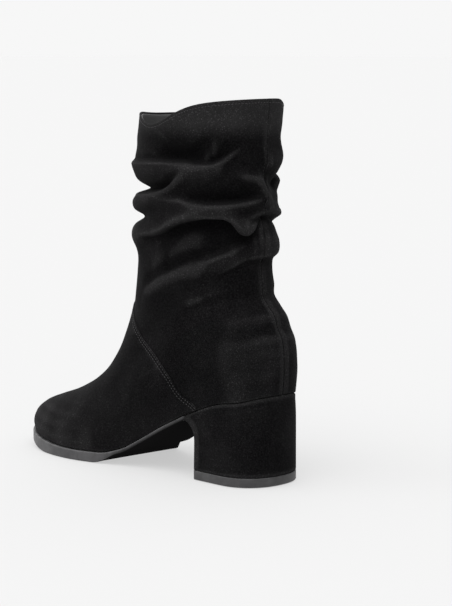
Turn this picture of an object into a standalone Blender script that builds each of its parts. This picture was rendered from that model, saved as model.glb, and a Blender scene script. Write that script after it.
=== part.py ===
"""Slouch ankle boot with a block heel, left foot, standing empty.

Metres, +Z up, +X towards the toe, +Y towards the outer side. The origin is on
the floor under the heel. The upper is worked out from rings round the last and
the shaft: angle 0 is the back, 90 the outer side, 180 the front, -90 the inner
side. Climb 0 is the feather line, where upper meets sole, and climb 1 the collar.
"""

import math

import bmesh
import bpy
import numpy as np
from mathutils import Matrix, Vector

# The last
FOOT_LENGTH = 0.2405
BALL_WIDTH = 0.084
SEAT_WIDTH = 0.061
INSTEP_HEIGHT = 0.110
INFLARE = 0.0045
COUNTER_BACK = -0.0300
SEAT_SQUARENESS = 0.25
SEAT_END, WAIST_AT, BALL_AT = 0.12, 0.42, 0.72
INFLARE_START = 0.35
FRONT_EASE = 0.35

# The heel and the sole
HEEL_HEIGHT = 0.0575
BREAST = 0.0268
LIP_REACH = 0.0095
TOP_PIECE = 0.0062
SOLE_THICKNESS = 0.0068
WAIST_THICKNESS = 0.0030
TOE_THICKNESS = 0.0042
TOE_SPRING = 0.0067
SOLE_MARGIN = 0.0024
MARGIN_RUN = 0.0500
TREAD_REAR = 0.1135
TREAD_SKEW = 0.0045
TREAD_EASE = 0.0125
TREAD_EASE_SKEW = 0.0085
TREAD_FRONT = 0.1640
EDGE_BEVEL = 0.0006

# The shaft and its wall
SHAFT_HEIGHT = 0.1960
COLLAR_LENGTH = 0.109
COLLAR_WIDTH = 0.083
COLLAR_DROP = 0.0120
WALL = 0.0022
VAMP_STEP = 0.0008
FOLD_DEPTH = 0.0052
FOLD_PITCH = 0.0200
FOLD_DROOP = 0.35
FOLD_ENDS = 1.15
FOLD_EDGE = 2.4

# The insole and the zip
INSOLE_THICKNESS = 0.0020
ZIP_GAP = 0.0064
TAPE_WIDTH = 0.0200
TAPE_THICKNESS = 0.0010
TAPE_GAP = 0.0007
TEETH_WIDTH = 0.0046
TEETH_HEIGHT = 0.0016
SLIDER_LENGTH = 0.0078
SLIDER_PROUD = 0.0012
SLIDER_DROP = 0.0080
LUG_THICKNESS = 0.0008
LUG_LENGTH = 0.0018
PIN_RADIUS = 0.0005
EYE_WALL = 0.0005
EYE_WIDTH = 0.0026
PULL_LENGTH = 0.0105
PULL_WIDTH = 0.0036
PULL_THICKNESS = 0.0010

CLEARANCE = 0.0003

# Feather line: place is a share of FOOT_LENGTH from the counter, rise a share of
# the height from the sole's top to the seat, spring a share of TOE_SPRING.
FEATHER = [
    # place, rise, spring
    (0.00, 1.000, 0.00),
    (0.12, 0.940, 0.00),
    (0.24, 0.760, 0.00),
    (0.35, 0.520, 0.00),
    (0.45, 0.260, 0.00),
    (0.52, 0.090, 0.00),
    (0.59, 0.010, 0.00),
    (0.72, 0.000, 0.06),
    (0.84, 0.000, 0.34),
    (0.93, 0.000, 0.70),
    (1.00, 0.000, 1.00),
]

# Rings of the last: climb is a share of SHAFT_HEIGHT at the back, back and toe are
# shares of FOOT_LENGTH, rise a share of INSTEP_HEIGHT over the feather line at the
# toe, seat a share of SEAT_WIDTH, waist and ball shares of BALL_WIDTH, follow how
# much of the feather line's own rise and fall the ring keeps, heel_round and
# toe_round the share of the ring's length that its ends take to round off.
LAST = [
    # climb, back, toe, rise, seat, waist, ball, follow, heel_round, toe_round
    (0.000, 0.006, 0.988, 0.000, 0.960, 0.650, 0.975, 1.00, 0.14, 0.27),
    (0.030, 0.003, 0.993, 0.048, 0.972, 0.680, 0.985, 1.00, 0.14, 0.27),
    (0.080, 0.000, 0.983, 0.103, 0.982, 0.725, 0.965, 0.97, 0.14, 0.27),
    (0.135, 0.001, 0.950, 0.157, 0.984, 0.770, 0.915, 0.92, 0.15, 0.28),
    (0.185, 0.007, 0.889, 0.207, 0.980, 0.800, 0.845, 0.84, 0.16, 0.29),
    (0.230, 0.017, 0.815, 0.260, 0.972, 0.812, 0.780, 0.74, 0.17, 0.30),
    (0.270, 0.036, 0.738, 0.336, 0.958, 0.810, 0.735, 0.62, 0.19, 0.32),
    (0.307, 0.059, 0.670, 0.436, 0.940, 0.800, 0.715, 0.48, 0.22, 0.35),
    (0.345, 0.079, 0.618, 0.560, 0.925, 0.787, 0.735, 0.33, 0.26, 0.39),
]

# Rings of the shaft: climb is a share of SHAFT_HEIGHT at the back, back and front
# are shares of COLLAR_LENGTH from the counter, front_climb a share of SHAFT_HEIGHT
# over the seat, width a share of COLLAR_WIDTH.
SHAFT = [
    # climb, back, front, front_climb, width, heel_round, toe_round
    (0.385, 0.180, 1.285, 0.160, 0.785, 0.34, 0.43),
    (0.430, 0.184, 1.213, 0.270, 0.795, 0.44, 0.47),
    (0.490, 0.182, 1.180, 0.385, 0.830, 0.50, 0.50),
    (0.560, 0.176, 1.160, 0.490, 0.875, 0.50, 0.50),
    (0.700, 0.160, 1.150, 0.650, 0.935, 0.50, 0.50),
    (0.850, 0.147, 1.144, 0.800, 0.975, 0.50, 0.50),
    (1.000, 0.124, 1.114, 0.940, 1.000, 0.50, 0.50),
]

# Collar edge: soft dips and lifts, lift a share of COLLAR_DROP.
COLLAR_WAVES = [
    # angle, span, lift
    (106, 26, -0.78),
    (-34, 11, -0.32),
    (-112, 28, -0.20),
    (150, 18, -0.10),
]

# Folds of the slack shaft: angle and span in degrees, height, tilt and bow are
# shares of SHAFT_HEIGHT (height over the seat at the middle, tilt from the middle
# to the end with the larger angle, bow up at both ends), depth is a share of
# FOLD_DEPTH, out or in, above and below are shares of FOLD_PITCH.
FOLDS = [
    # angle, span, height, tilt, bow, depth, above, below
    (96, 74, 0.772, -0.026, 0.012, 0.85, 0.38, 0.30),
    (72, 30, 0.828, 0.012, 0.000, -1.05, 0.42, 0.22),
    (48, 18, 0.812, -0.010, 0.000, -0.45, 0.30, 0.20),
    (126, 42, 0.701, -0.042, 0.020, -1.50, 0.30, 0.30),
    (120, 46, 0.634, -0.040, 0.020, 0.75, 0.28, 0.28),
    (38, 30, 0.680, 0.000, 0.004, -0.60, 0.28, 0.24),
    (56, 46, 0.632, -0.010, 0.014, 1.00, 0.34, 0.22),
    (136, 36, 0.592, -0.016, 0.010, -0.90, 0.24, 0.22),
    (122, 40, 0.535, -0.022, 0.004, 0.80, 0.30, 0.50),
    (66, 44, 0.548, -0.036, -0.008, -0.85, 0.26, 0.40),
    (26, 16, 0.580, 0.020, 0.010, 0.60, 0.24, 0.18),
    (50, 58, 0.462, -0.066, -0.012, 0.70, 0.22, 0.60),
    (20, 24, 0.472, 0.000, 0.000, -0.30, 0.20, 0.20),
    (14, 24, 0.730, 0.034, 0.000, 0.40, 0.24, 0.28),
    (18, 16, 0.775, 0.000, 0.000, -0.35, 0.24, 0.24),
    (-52, 30, 0.778, -0.026, -0.010, 0.55, 0.42, 0.22),
    (-50, 30, 0.690, -0.020, 0.000, -0.60, 0.30, 0.30),
    (-14, 18, 0.692, 0.000, 0.000, -0.45, 0.30, 0.26),
    (-30, 34, 0.634, 0.030, 0.000, 0.50, 0.34, 0.20),
    (-26, 30, 0.566, 0.024, 0.000, -0.50, 0.20, 0.20),
    (-40, 44, 0.508, 0.014, 0.016, 0.75, 0.30, 0.24),
    (-44, 44, 0.462, 0.012, 0.016, -0.30, 0.18, 0.30),
    (-62, 16, 0.832, 0.000, 0.000, -0.45, 0.30, 0.22),
    (-144, 50, 0.756, 0.014, 0.010, 0.80, 0.36, 0.30),
    (-148, 48, 0.684, 0.018, 0.012, -0.85, 0.30, 0.28),
    (-146, 48, 0.616, 0.020, 0.006, 0.75, 0.30, 0.28),
    (-150, 46, 0.556, 0.014, 0.000, -0.65, 0.26, 0.26),
    (-146, 50, 0.500, 0.012, 0.000, 0.55, 0.30, 0.40),
]

# Lapped edge of the vamp: climb over the seat as a share of SHAFT_HEIGHT, place a
# share of FOOT_LENGTH from the counter.
VAMP_SEAM = [
    # climb, place
    (-0.110, 0.200),
    (-0.044, 0.219),
    (0.000, 0.276),
    (0.062, 0.314),
    (0.119, 0.356),
    (0.162, 0.412),
    (0.209, 0.452),
    (0.255, 0.495),
    (0.300, 0.560),
    (0.345, 0.660),
]

# Zip line on the inner side: height over the seat as a share of SHAFT_HEIGHT, place
# a share of FOOT_LENGTH from the counter.
ZIP_LINE = [
    # height, place
    (0.05, 0.318),
    (0.27, 0.308),
    (0.53, 0.285),
    (0.78, 0.247),
    (1.00, 0.205),
]
ZIP_END = 0.085
ZIP_CALM = 18
ZIP_STILL = 0.85

# Heel block: level 0 at the top piece and 1 at the seat, back and width are shares
# of the seat's own, lip is the share of LIP_REACH by which the breast stands forward.
HEEL_LEVELS = [
    # level, back, width, lip
    (0.00, 0.975, 1.020, 0.00),
    (0.30, 0.978, 1.012, 0.00),
    (0.55, 0.985, 1.002, 0.02),
    (0.70, 0.990, 0.998, 0.12),
    (0.80, 0.994, 0.996, 0.34),
    (0.88, 0.997, 0.997, 0.68),
    (0.93, 0.999, 0.998, 1.00),
    (1.00, 1.000, 1.000, 1.00),
]

# Slider seen from the front, narrow end down: shares of its width and of its length.
SLIDER_OUTLINE = [
    # side, up
    (-0.34, -0.50),
    (0.34, -0.50),
    (0.40, -0.28),
    (0.50, 0.28),
    (0.36, 0.50),
    (-0.36, 0.50),
    (-0.50, 0.28),
    (-0.40, -0.28),
]

COLUMNS = 44
FOOT_ROWS = 16
FOLD_ROWS = 27
HEEL_COLUMNS = 29
INSOLE_COLUMNS = 56
FOLD_START = 0.44
CUT_GRAIN = 0.0004
NEARBY = 0.5


def column(table, index):
    """One named column of a table."""
    return [row[index] for row in table]


def curve(places, values, at):
    """Smooth curve through the points, without overshoot, level beyond its ends."""
    places, values = np.asarray(places, float), np.asarray(values, float)
    at = np.clip(np.asarray(at, float), places[0], places[-1])
    step = np.diff(places)
    rate = np.diff(values) / step
    slope = np.concatenate([rate[:1], np.zeros(len(rate) - 1), rate[-1:]])
    turning = rate[:-1] * rate[1:] <= 0
    safe = np.where(turning, 1.0, rate[:-1] + rate[1:])
    slope[1:-1] = np.where(turning, 0.0, 2 * rate[:-1] * rate[1:] / safe)
    index = np.clip(np.searchsorted(places, at, side="right") - 1, 0, len(step) - 1)
    share = (at - places[index]) / step[index]
    start, end = values[index], values[index + 1]
    bend = share * (1 - share) * step[index]
    blend = share * share * (3 - 2 * share)
    return start + (end - start) * blend + bend * (
        slope[index] * (1 - share) - slope[index + 1] * share
    )


def feather_height(x):
    """Height of the feather line over the floor."""
    place = (np.asarray(x, float) - COUNTER_BACK) / FOOT_LENGTH
    rise = curve(column(FEATHER, 0), column(FEATHER, 1), place)
    spring = curve(column(FEATHER, 0), column(FEATHER, 2), place)
    return SOLE_THICKNESS + (HEEL_HEIGHT - SOLE_THICKNESS) * rise + TOE_SPRING * spring


def ring_table():
    """Every ring in metres: climb, back, front, their heights, three half widths, follow, rounds."""
    toe_height = float(feather_height(COUNTER_BACK + FOOT_LENGTH))
    rings = []
    for climb, back, toe, rise, seat, waist, ball, follow, heel_round, toe_round in LAST:
        rings.append((
            climb,
            COUNTER_BACK + back * FOOT_LENGTH,
            COUNTER_BACK + toe * FOOT_LENGTH,
            HEEL_HEIGHT + climb * SHAFT_HEIGHT,
            toe_height + rise * INSTEP_HEIGHT,
            seat * SEAT_WIDTH / 2,
            waist * BALL_WIDTH / 2,
            ball * BALL_WIDTH / 2,
            follow,
            heel_round,
            toe_round,
        ))
    for climb, back, front, front_climb, width, heel_round, toe_round in SHAFT:
        half = width * COLLAR_WIDTH / 2
        rings.append((
            climb,
            COUNTER_BACK + back * COLLAR_LENGTH,
            COUNTER_BACK + front * COLLAR_LENGTH,
            HEEL_HEIGHT + climb * SHAFT_HEIGHT,
            HEEL_HEIGHT + front_climb * SHAFT_HEIGHT,
            half,
            half,
            half,
            0.0,
            heel_round,
            toe_round,
        ))
    return np.array(rings)


RINGS = ring_table()


def ease(value, start, end):
    """0 before start, 1 after end, smooth between."""
    share = np.clip((value - start) / (end - start), 0, 1)
    return share * share * (3 - 2 * share)


def bare_form(angle, climb):
    """Outer face of the upper without folds or steps."""
    angle, climb = np.broadcast_arrays(np.asarray(angle, float), np.asarray(climb, float))
    values = [curve(RINGS[:, 0], RINGS[:, i], climb) for i in range(1, RINGS.shape[1])]
    back, front, back_z, front_z, seat, waist, ball, follow, heel_round, toe_round = values
    turn = np.radians(angle)
    share = (1 - np.cos(turn)) / 2
    x = back + share * (front - back)
    half = seat + (waist - seat) * ease(share, SEAT_END, WAIST_AT)
    half = half + (ball - waist) * ease(share, WAIST_AT, BALL_AT)
    heel_end = np.clip(1 - share / heel_round, 0, 1)
    toe_end = np.clip(1 - (1 - share) / toe_round, 0, 1)
    squareness = 2 + SEAT_SQUARENESS * follow
    half = half * (1 - heel_end ** squareness) ** (1 / squareness) * (1 - toe_end ** 2) ** 0.5
    place = (x - COUNTER_BACK) / FOOT_LENGTH
    forward = np.clip((place - INFLARE_START) / (1 - INFLARE_START), 0, 1)
    y = np.sign(np.sin(turn)) * half - INFLARE * forward * forward
    front_part = share + FRONT_EASE * (ease(share, 0, 1) - share)
    own_back = back_z - follow * feather_height(back)
    own_front = front_z - follow * feather_height(front)
    z = follow * feather_height(x) + own_back + (own_front - own_back) * front_part
    for middle, span, lift in COLLAR_WAVES:
        near = turned(angle, middle) / span
        z = z + lift * COLLAR_DROP * np.exp(-near * near) * ease(climb, 0.8, 1.0)
    return np.stack([x, y, z], axis=-1)


def turned(angle, place):
    """Angle from place, between -180 and 180."""
    return (np.asarray(angle, float) - place + 180) % 360 - 180


def solve_zip_line():
    """Climbs along the zip's line, their angles, and the climb where the zip ends."""
    climbs = np.linspace(0, 1, 61)
    search = -np.arange(20, 160, 0.5)
    angles, heights = [], []
    for climb in climbs:
        x, _, z = np.moveaxis(bare_form(search, climb), -1, 0)
        height = (z - HEEL_HEIGHT) / SHAFT_HEIGHT
        place = curve(column(ZIP_LINE, 0), column(ZIP_LINE, 1), height)
        beyond = x - (COUNTER_BACK + place * FOOT_LENGTH)
        angles.append(np.interp(0, beyond, search))
        heights.append(np.interp(0, beyond, height))
    return climbs, angles, float(np.interp(ZIP_END, heights, climbs))


def zip_angle(climb):
    return curve(ZIP_CLIMBS, ZIP_ANGLES, climb)


ZIP_CLIMBS, ZIP_ANGLES, ZIP_END_CLIMB = solve_zip_line()


def fold_out(angle, climb, z):
    """How far the folds stand out from the bare form."""
    height = (z - HEEL_HEIGHT) / SHAFT_HEIGHT
    out = np.zeros_like(z)
    for place, span, middle, tilt, bow, depth, above, below in FOLDS:
        along = turned(angle, place) / span
        over = (height - middle - tilt * along - bow * along * along) * SHAFT_HEIGHT / FOLD_PITCH
        width = np.where(over > 0, above, below)
        fading = (FOLD_ENDS * along) ** 4 + np.abs(over / width) ** FOLD_EDGE
        out = out + depth * FOLD_DEPTH * np.exp(-fading)
    calm = np.exp(-(turned(angle, zip_angle(climb)) / ZIP_CALM) ** 2)
    calm = np.maximum(ZIP_STILL * calm, ease(climb, 0.92, 1.0))
    return out * (1 - calm)


def unit(vectors):
    return vectors / np.linalg.norm(vectors, axis=-1, keepdims=True)


def level_outward(angle, climb):
    """Level direction out of the bare form."""
    along = bare_form(angle + NEARBY, climb) - bare_form(angle - NEARBY, climb)
    along[..., 2] = 0
    return unit(np.stack([-along[..., 1], along[..., 0], along[..., 2]], axis=-1))


def folded_form(angle, climb):
    """Outer face with its folds, which droop a little as they stand out."""
    base = bare_form(angle, climb)
    out = fold_out(angle, climb, base[..., 2])
    point = base + level_outward(angle, climb) * out[..., None]
    point[..., 2] -= FOLD_DROOP * out
    return point


def outward(angle, climb):
    """Direction out of the folded face, level at the feather line and at the collar."""
    step = 0.004
    along = folded_form(angle + NEARBY, climb) - folded_form(angle - NEARBY, climb)
    low, high = np.clip(climb - step, 0, 1), np.clip(climb + step, 0, 1)
    up = folded_form(angle, high) - folded_form(angle, low)
    normal = unit(np.cross(up, along))
    inner = ease(climb, 0.0, 0.03) * (1 - ease(climb, 0.97, 1.0))
    normal[..., 2] *= 0.7 * inner
    return unit(normal)


def wall_point(angle, climb, depth):
    """Point at a depth inside the outer face; a negative depth is proud of it."""
    angle, climb = np.broadcast_arrays(np.asarray(angle, float), np.asarray(climb, float))
    depth = np.broadcast_to(np.asarray(depth, float), angle.shape)
    return folded_form(angle, climb) - outward(angle, climb) * depth[..., None]


def arc_speed(angle, climb):
    """Metres round the bare form for one degree."""
    along = bare_form(angle + NEARBY, climb) - bare_form(angle - NEARBY, climb)
    return np.linalg.norm(along, axis=-1)


def beyond_vamp_edge(angle, climb):
    """Positive in front of the vamp's lapped edge."""
    x, _, z = np.moveaxis(bare_form(angle, climb), -1, 0)
    climb_over_seat = (z - HEEL_HEIGHT) / SHAFT_HEIGHT
    place = curve(column(VAMP_SEAM, 0), column(VAMP_SEAM, 1), climb_over_seat)
    return x - (COUNTER_BACK + place * FOOT_LENGTH)


def beyond_zip_line(angle, climb):
    """Distance round the form from the zip's line."""
    line = zip_angle(climb)
    return turned(angle, line) * arc_speed(line, climb)


def row_climbs():
    """Climb of each row of faces: even over the foot, close together over the folds."""
    foot = np.linspace(0, FOLD_START, FOOT_ROWS + 1)
    shaft = FOLD_START + (1 - FOLD_START) * np.linspace(0, 1, FOLD_ROWS + 1)[1:]
    return np.concatenate([foot, shaft])


def cut_sheet(sheet, field):
    """Cut the flat sheet of angles and climbs where the field is 0."""
    values = field(np.array([v.co.x for v in sheet.verts]), np.array([v.co.y for v in sheet.verts]))
    for vertex, value in zip(sheet.verts, values):
        vertex.co.z = value
    bmesh.ops.bisect_plane(
        sheet,
        geom=[*sheet.verts, *sheet.edges, *sheet.faces],
        dist=CUT_GRAIN,
        plane_co=(0, 0, 0),
        plane_no=(0, 0, 1),
    )
    for vertex in sheet.verts:
        vertex.co.z = 0


def upper_sheet():
    """Flat sheet of angles and climbs, cut along the vamp's edge and the zip."""
    sheet = bmesh.new()
    first = zip_angle(0.5) + 180
    angles = np.linspace(first, first + 360, COLUMNS + 1)
    rows = [[sheet.verts.new((angle, climb, 0)) for angle in angles] for climb in row_climbs()]
    for low, high in zip(rows, rows[1:]):
        for i in range(COLUMNS):
            sheet.faces.new((low[i], low[i + 1], high[i + 1], high[i]))
    cut_sheet(sheet, beyond_vamp_edge)
    cut_sheet(sheet, lambda angle, climb: beyond_zip_line(angle, climb) - ZIP_GAP / 2)
    cut_sheet(sheet, lambda angle, climb: beyond_zip_line(angle, climb) + ZIP_GAP / 2)
    cut_sheet(sheet, lambda angle, climb: climb - ZIP_END_CLIMB)
    middles = np.array([face.calc_center_median()[:2] for face in sheet.faces])
    off_zip = np.abs(beyond_zip_line(middles[:, 0], middles[:, 1])) > ZIP_GAP / 2
    kept = off_zip | (middles[:, 1] < ZIP_END_CLIMB)
    gone = [face for face, keep in zip(sheet.faces, kept) if not keep]
    bmesh.ops.delete(sheet, geom=gone, context="FACES")
    return sheet, (angles[0], angles[-1])


def add_object(name, mesh_data, material):
    """Object with the bmesh as its mesh."""
    mesh = bpy.data.meshes.new(name)
    bmesh.ops.recalc_face_normals(mesh_data, faces=mesh_data.faces)
    bmesh.ops.triangulate(mesh_data, faces=mesh_data.faces)
    mesh_data.to_mesh(mesh)
    mesh_data.free()
    mesh.shade_smooth()
    mesh.set_sharp_from_angle(angle=math.radians(40))
    mesh.materials.append(material)
    thing = bpy.data.objects.new(name, mesh)
    bpy.context.collection.objects.link(thing)
    return thing


def make_upper(material):
    """Hollow wall: the sheet twice, outside with its step and inside plain, joined at the rims."""
    sheet, join = upper_sheet()
    sheet.verts.index_update()
    sheet.faces.index_update()
    angles = np.array([v.co.x for v in sheet.verts])
    climbs = np.array([v.co.y for v in sheet.verts])
    middles = np.array([face.calc_center_median()[:2] for face in sheet.faces])
    in_vamp = beyond_vamp_edge(middles[:, 0], middles[:, 1]) > 0
    lifts = np.where(in_vamp, VAMP_STEP, 0.0)
    faces = bmesh.new()
    inside = [faces.verts.new(p) for p in wall_point(angles, climbs, WALL)]
    levels = {lift: wall_point(angles, climbs, -lift) for lift in set(lifts)}
    outside = {}

    def outer(vertex, lift):
        key = (vertex.index, lift)
        if key not in outside:
            outside[key] = faces.verts.new(levels[lift][vertex.index])
        return outside[key]

    for face in sheet.faces:
        faces.faces.new([outer(v, lifts[face.index]) for v in face.verts])
        faces.faces.new([inside[v.index] for v in reversed(face.verts)])
    rims = set()
    for edge in sheet.edges:
        a, b = edge.verts
        sides = [lifts[face.index] for face in edge.link_faces]
        if len(sides) == 2 and sides[0] != sides[1]:
            low, high = sides
            faces.faces.new((outer(a, low), outer(b, low), outer(b, high), outer(a, high)))
        joined = any(abs(a.co.x - end) < 0.01 and abs(b.co.x - end) < 0.01 for end in join)
        if len(sides) == 1 and not joined:
            faces.faces.new((outer(a, sides[0]), outer(b, sides[0]), inside[b.index], inside[a.index]))
            rims.update((a.index, b.index))
    for index in rims:
        copies = [vertex for (i, _), vertex in outside.items() if i == index]
        if len(copies) == 2:
            faces.faces.new((*copies, inside[index]))
    bmesh.ops.remove_doubles(faces, verts=faces.verts, dist=0.00001)
    sheet.free()
    return add_object("upper", faces, material)


def make_lofted(name, rings, material):
    """Closed solid through rings of equal count, whose end faces are strips across.

    Each ring runs from one side's first point round to the other side's last one."""
    solid = bmesh.new()
    loops = [[solid.verts.new(point) for point in ring] for ring in rings]
    count = len(loops[0])
    for low, high in zip(loops, loops[1:]):
        for i in range(count):
            j = (i + 1) % count
            solid.faces.new((low[i], low[j], high[j], high[i]))
    for loop in (loops[0], loops[-1]):
        for i in range(count // 2):
            j = count - 1 - i
            corners = [loop[i], loop[i + 1], loop[j - 1], loop[j]]
            corners = list(dict.fromkeys(corners))
            if len(corners) > 2:
                solid.faces.new(corners)
    return add_object(name, solid, material)


def heel_ring(back, width, front):
    """Outline of the heel at the seat's height: flat breast at front, round behind."""
    seat_back, toe = RINGS[0, 1], RINGS[0, 2]
    seat_front = BREAST + LIP_REACH
    end = math.degrees(math.acos(1 - 2 * (seat_front - seat_back) / (toe - seat_back)))
    ring = bare_form(np.linspace(end, -end, HEEL_COLUMNS), 0)
    share = (ring[:, 0] - seat_back) / (seat_front - seat_back)
    ring[:, 0] = seat_back * back + share * (front - seat_back * back)
    ring[:, 1] *= width
    return ring


def make_heel(material):
    rings = []
    bottom = TOP_PIECE + CLEARANCE
    for level, back, width, lip in HEEL_LEVELS:
        ring = heel_ring(back, width, BREAST + lip * LIP_REACH)
        ring[:, 2] = bottom + level * (ring[:, 2] - CLEARANCE - bottom)
        rings.append(ring)
    return make_lofted("heel_block", rings, material)


def make_top_piece(material):
    _, back, width, _ = HEEL_LEVELS[0]
    rings = []
    for height, bevel in ((0.0, EDGE_BEVEL), (EDGE_BEVEL, 0.0), (TOP_PIECE, 0.0)):
        ring = heel_ring(back, width, BREAST)
        middle = ring[:, 0].mean()
        ring[:, 0] = middle + (ring[:, 0] - middle) * (1 - 2 * bevel / np.ptp(ring[:, 0]))
        ring[:, 1] *= 1 - 2 * bevel / SEAT_WIDTH
        ring[:, 2] = height
        rings.append(ring)
    return make_lofted("top_piece", rings, material)


def sole_underside(x, y):
    """Height of the outsole's lower face: toe spring, flat tread, rise to the waist."""
    toe = COUNTER_BACK + FOOT_LENGTH
    toe_part = np.clip((x - TREAD_FRONT) / (toe - TREAD_FRONT), 0, None)
    tread = (float(feather_height(toe)) - TOE_THICKNESS) * toe_part ** 1.7
    waist = feather_height(x) - WAIST_THICKNESS
    side = y / (BALL_WIDTH / 2)
    rear = TREAD_REAR + TREAD_SKEW * side
    length = TREAD_EASE + TREAD_EASE_SKEW * side
    return waist + (tread - waist) * ease(x, rear - length, rear)


def make_outsole(material):
    """Outsole from the heel's breast to the toe: outer side forward, round the toe, inner side back."""
    rear = BREAST + LIP_REACH + CLEARANCE
    toe = RINGS[0, 2]
    waist = np.linspace(rear, TREAD_REAR - 2 * TREAD_EASE, 7)
    rise = np.linspace(waist[-1], TREAD_REAR + TREAD_SKEW, 13)
    front = rise[-1] + (toe - rise[-1]) * np.sin(np.linspace(0, math.pi / 2, 15))
    stations = np.concatenate([waist[:-1], rise[:-1], front])
    share = np.clip((stations - RINGS[0, 1]) / (toe - RINGS[0, 1]), 0, 1)
    angles = np.degrees(np.arccos(1 - 2 * share))
    sides = np.concatenate([angles, -angles[::-1][1:]])
    edge, out = bare_form(sides, 0), level_outward(sides, 0)
    proud = ease(edge[:, 0], rear, rear + MARGIN_RUN)
    layers = (
        # share of the thickness, how far the edge stands out
        (1.00, SOLE_MARGIN - EDGE_BEVEL),
        (0.85, SOLE_MARGIN),
        (0.25, SOLE_MARGIN),
        (0.00, SOLE_MARGIN - 2 * EDGE_BEVEL),
    )
    rings = []
    for level, margin in layers:
        ring = edge + out * (margin * proud)[:, None]
        top = feather_height(edge[:, 0]) - CLEARANCE
        low = sole_underside(edge[:, 0], edge[:, 1])
        ring[:, 2] = low + level * (top - low)
        rings.append(ring)
    return make_lofted("outsole", rings, material)


def make_insole(material):
    angles = (np.arange(INSOLE_COLUMNS) + 0.5) * 360 / INSOLE_COLUMNS
    edge = bare_form(angles, 0) - level_outward(angles, 0) * (WALL + 2 * CLEARANCE)
    rings = []
    for height in (CLEARANCE, CLEARANCE + INSOLE_THICKNESS):
        ring = edge.copy()
        ring[:, 2] = feather_height(ring[:, 0]) + height
        rings.append(ring)
    return make_lofted("insole", rings, material)


def make_tape(material):
    """Zip tape behind the gap, with the closed teeth as a rib along its middle."""
    foot = ZIP_END_CLIMB + (ZIP_GAP - TEETH_WIDTH) / 2 / SHAFT_HEIGHT
    below = [c for c in row_climbs() if ZIP_END_CLIMB - 0.04 < c < foot - 0.01]
    above = [c for c in row_climbs() if foot + 0.01 < c < 0.99]
    face = WALL + TAPE_GAP
    back = face + TAPE_THICKNESS
    half, teeth = TAPE_WIDTH / 2, TEETH_WIDTH / 2
    solid = bmesh.new()
    loops = []
    for climb, rib in [(c, 0.0) for c in (*below, foot)] + [(c, TEETH_HEIGHT) for c in (foot, *above)]:
        crown = face - rib
        section = [
            # round the form, depth
            (-half, back),
            (-half, face),
            (-half / 2, face),
            (-teeth, face),
            (-teeth * 0.8, crown),
            (teeth * 0.8, crown),
            (teeth, face),
            (half / 2, face),
            (half, face),
            (half, back),
            (0.0, back),
        ]
        line = zip_angle(climb)
        speed = float(arc_speed(line, climb))
        angles = np.array([line + offset / speed for offset, _ in section])
        points = wall_point(angles, climb, [depth for _, depth in section])
        loops.append([solid.verts.new(point) for point in points])
    count = len(loops[0])
    for low, high in zip(loops, loops[1:]):
        for i in range(count):
            j = (i + 1) % count
            solid.faces.new((low[i], low[j], high[j], high[i]))
    for loop in (loops[0], loops[-1]):
        solid.faces.new(loop)
    bmesh.ops.remove_doubles(solid, verts=solid.verts, dist=0.00001)
    return add_object("zip_tape", solid, material)


def slider_frame():
    """Place of the slider on the zip, its sideways, outward and upward directions."""
    climb = 1 - SLIDER_DROP / SHAFT_HEIGHT
    reach = 0.01
    low, high = climb - reach, climb + reach
    up = wall_point(zip_angle(high), high, 0) - wall_point(zip_angle(low), low, 0)
    up = Vector(up).normalized()
    out = Vector(level_outward(zip_angle(climb), climb))
    out = (out - up * out.dot(up)).normalized()
    return Vector(wall_point(zip_angle(climb), climb, 0)), out.cross(up), out, up


def place_on_zip(thing, out_by):
    """Stand an object on the zip with X sideways, Y outward and Z up it."""
    point, side, out, up = slider_frame()
    turn = Matrix((side, out, up)).transposed().to_4x4()
    thing.matrix_world = Matrix.Translation(point + out * out_by) @ turn


def prism(outline, low, high, axis):
    """Closed prism of an outline, given in the plane across the axis."""
    solid = bmesh.new()

    def corner(a, b, along):
        order = {"X": (along, a, b), "Y": (a, along, b), "Z": (a, b, along)}
        return solid.verts.new(order[axis])

    bottom = [corner(a, b, low) for a, b in outline]
    top = [corner(a, b, high) for a, b in outline]
    for i in range(len(outline)):
        j = (i + 1) % len(outline)
        solid.faces.new((bottom[i], bottom[j], top[j], top[i]))
    solid.faces.new(bottom)
    solid.faces.new(top)
    return solid


def disc(radius, sides, start=0.0):
    turns = [2 * math.pi * (i + start) / sides for i in range(sides)]
    return [(radius * math.cos(turn), radius * math.sin(turn)) for turn in turns]


def box_outline(left, right, low, high):
    return [(left, low), (right, low), (right, high), (left, high)]


def combine(thing, tool, operation):
    """Boolean that stays on the object, its tool hidden."""
    tool.hide_render = True
    tool.display_type = "WIRE"
    change = thing.modifiers.new(operation.lower(), "BOOLEAN")
    change.operation = operation
    change.object = tool
    change.solver = "EXACT"


def hinge_out():
    """How far the pull's axis stands out from the upper's face."""
    return SLIDER_PROUD + PIN_RADIUS + CLEARANCE + EYE_WALL + CLEARANCE


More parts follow.
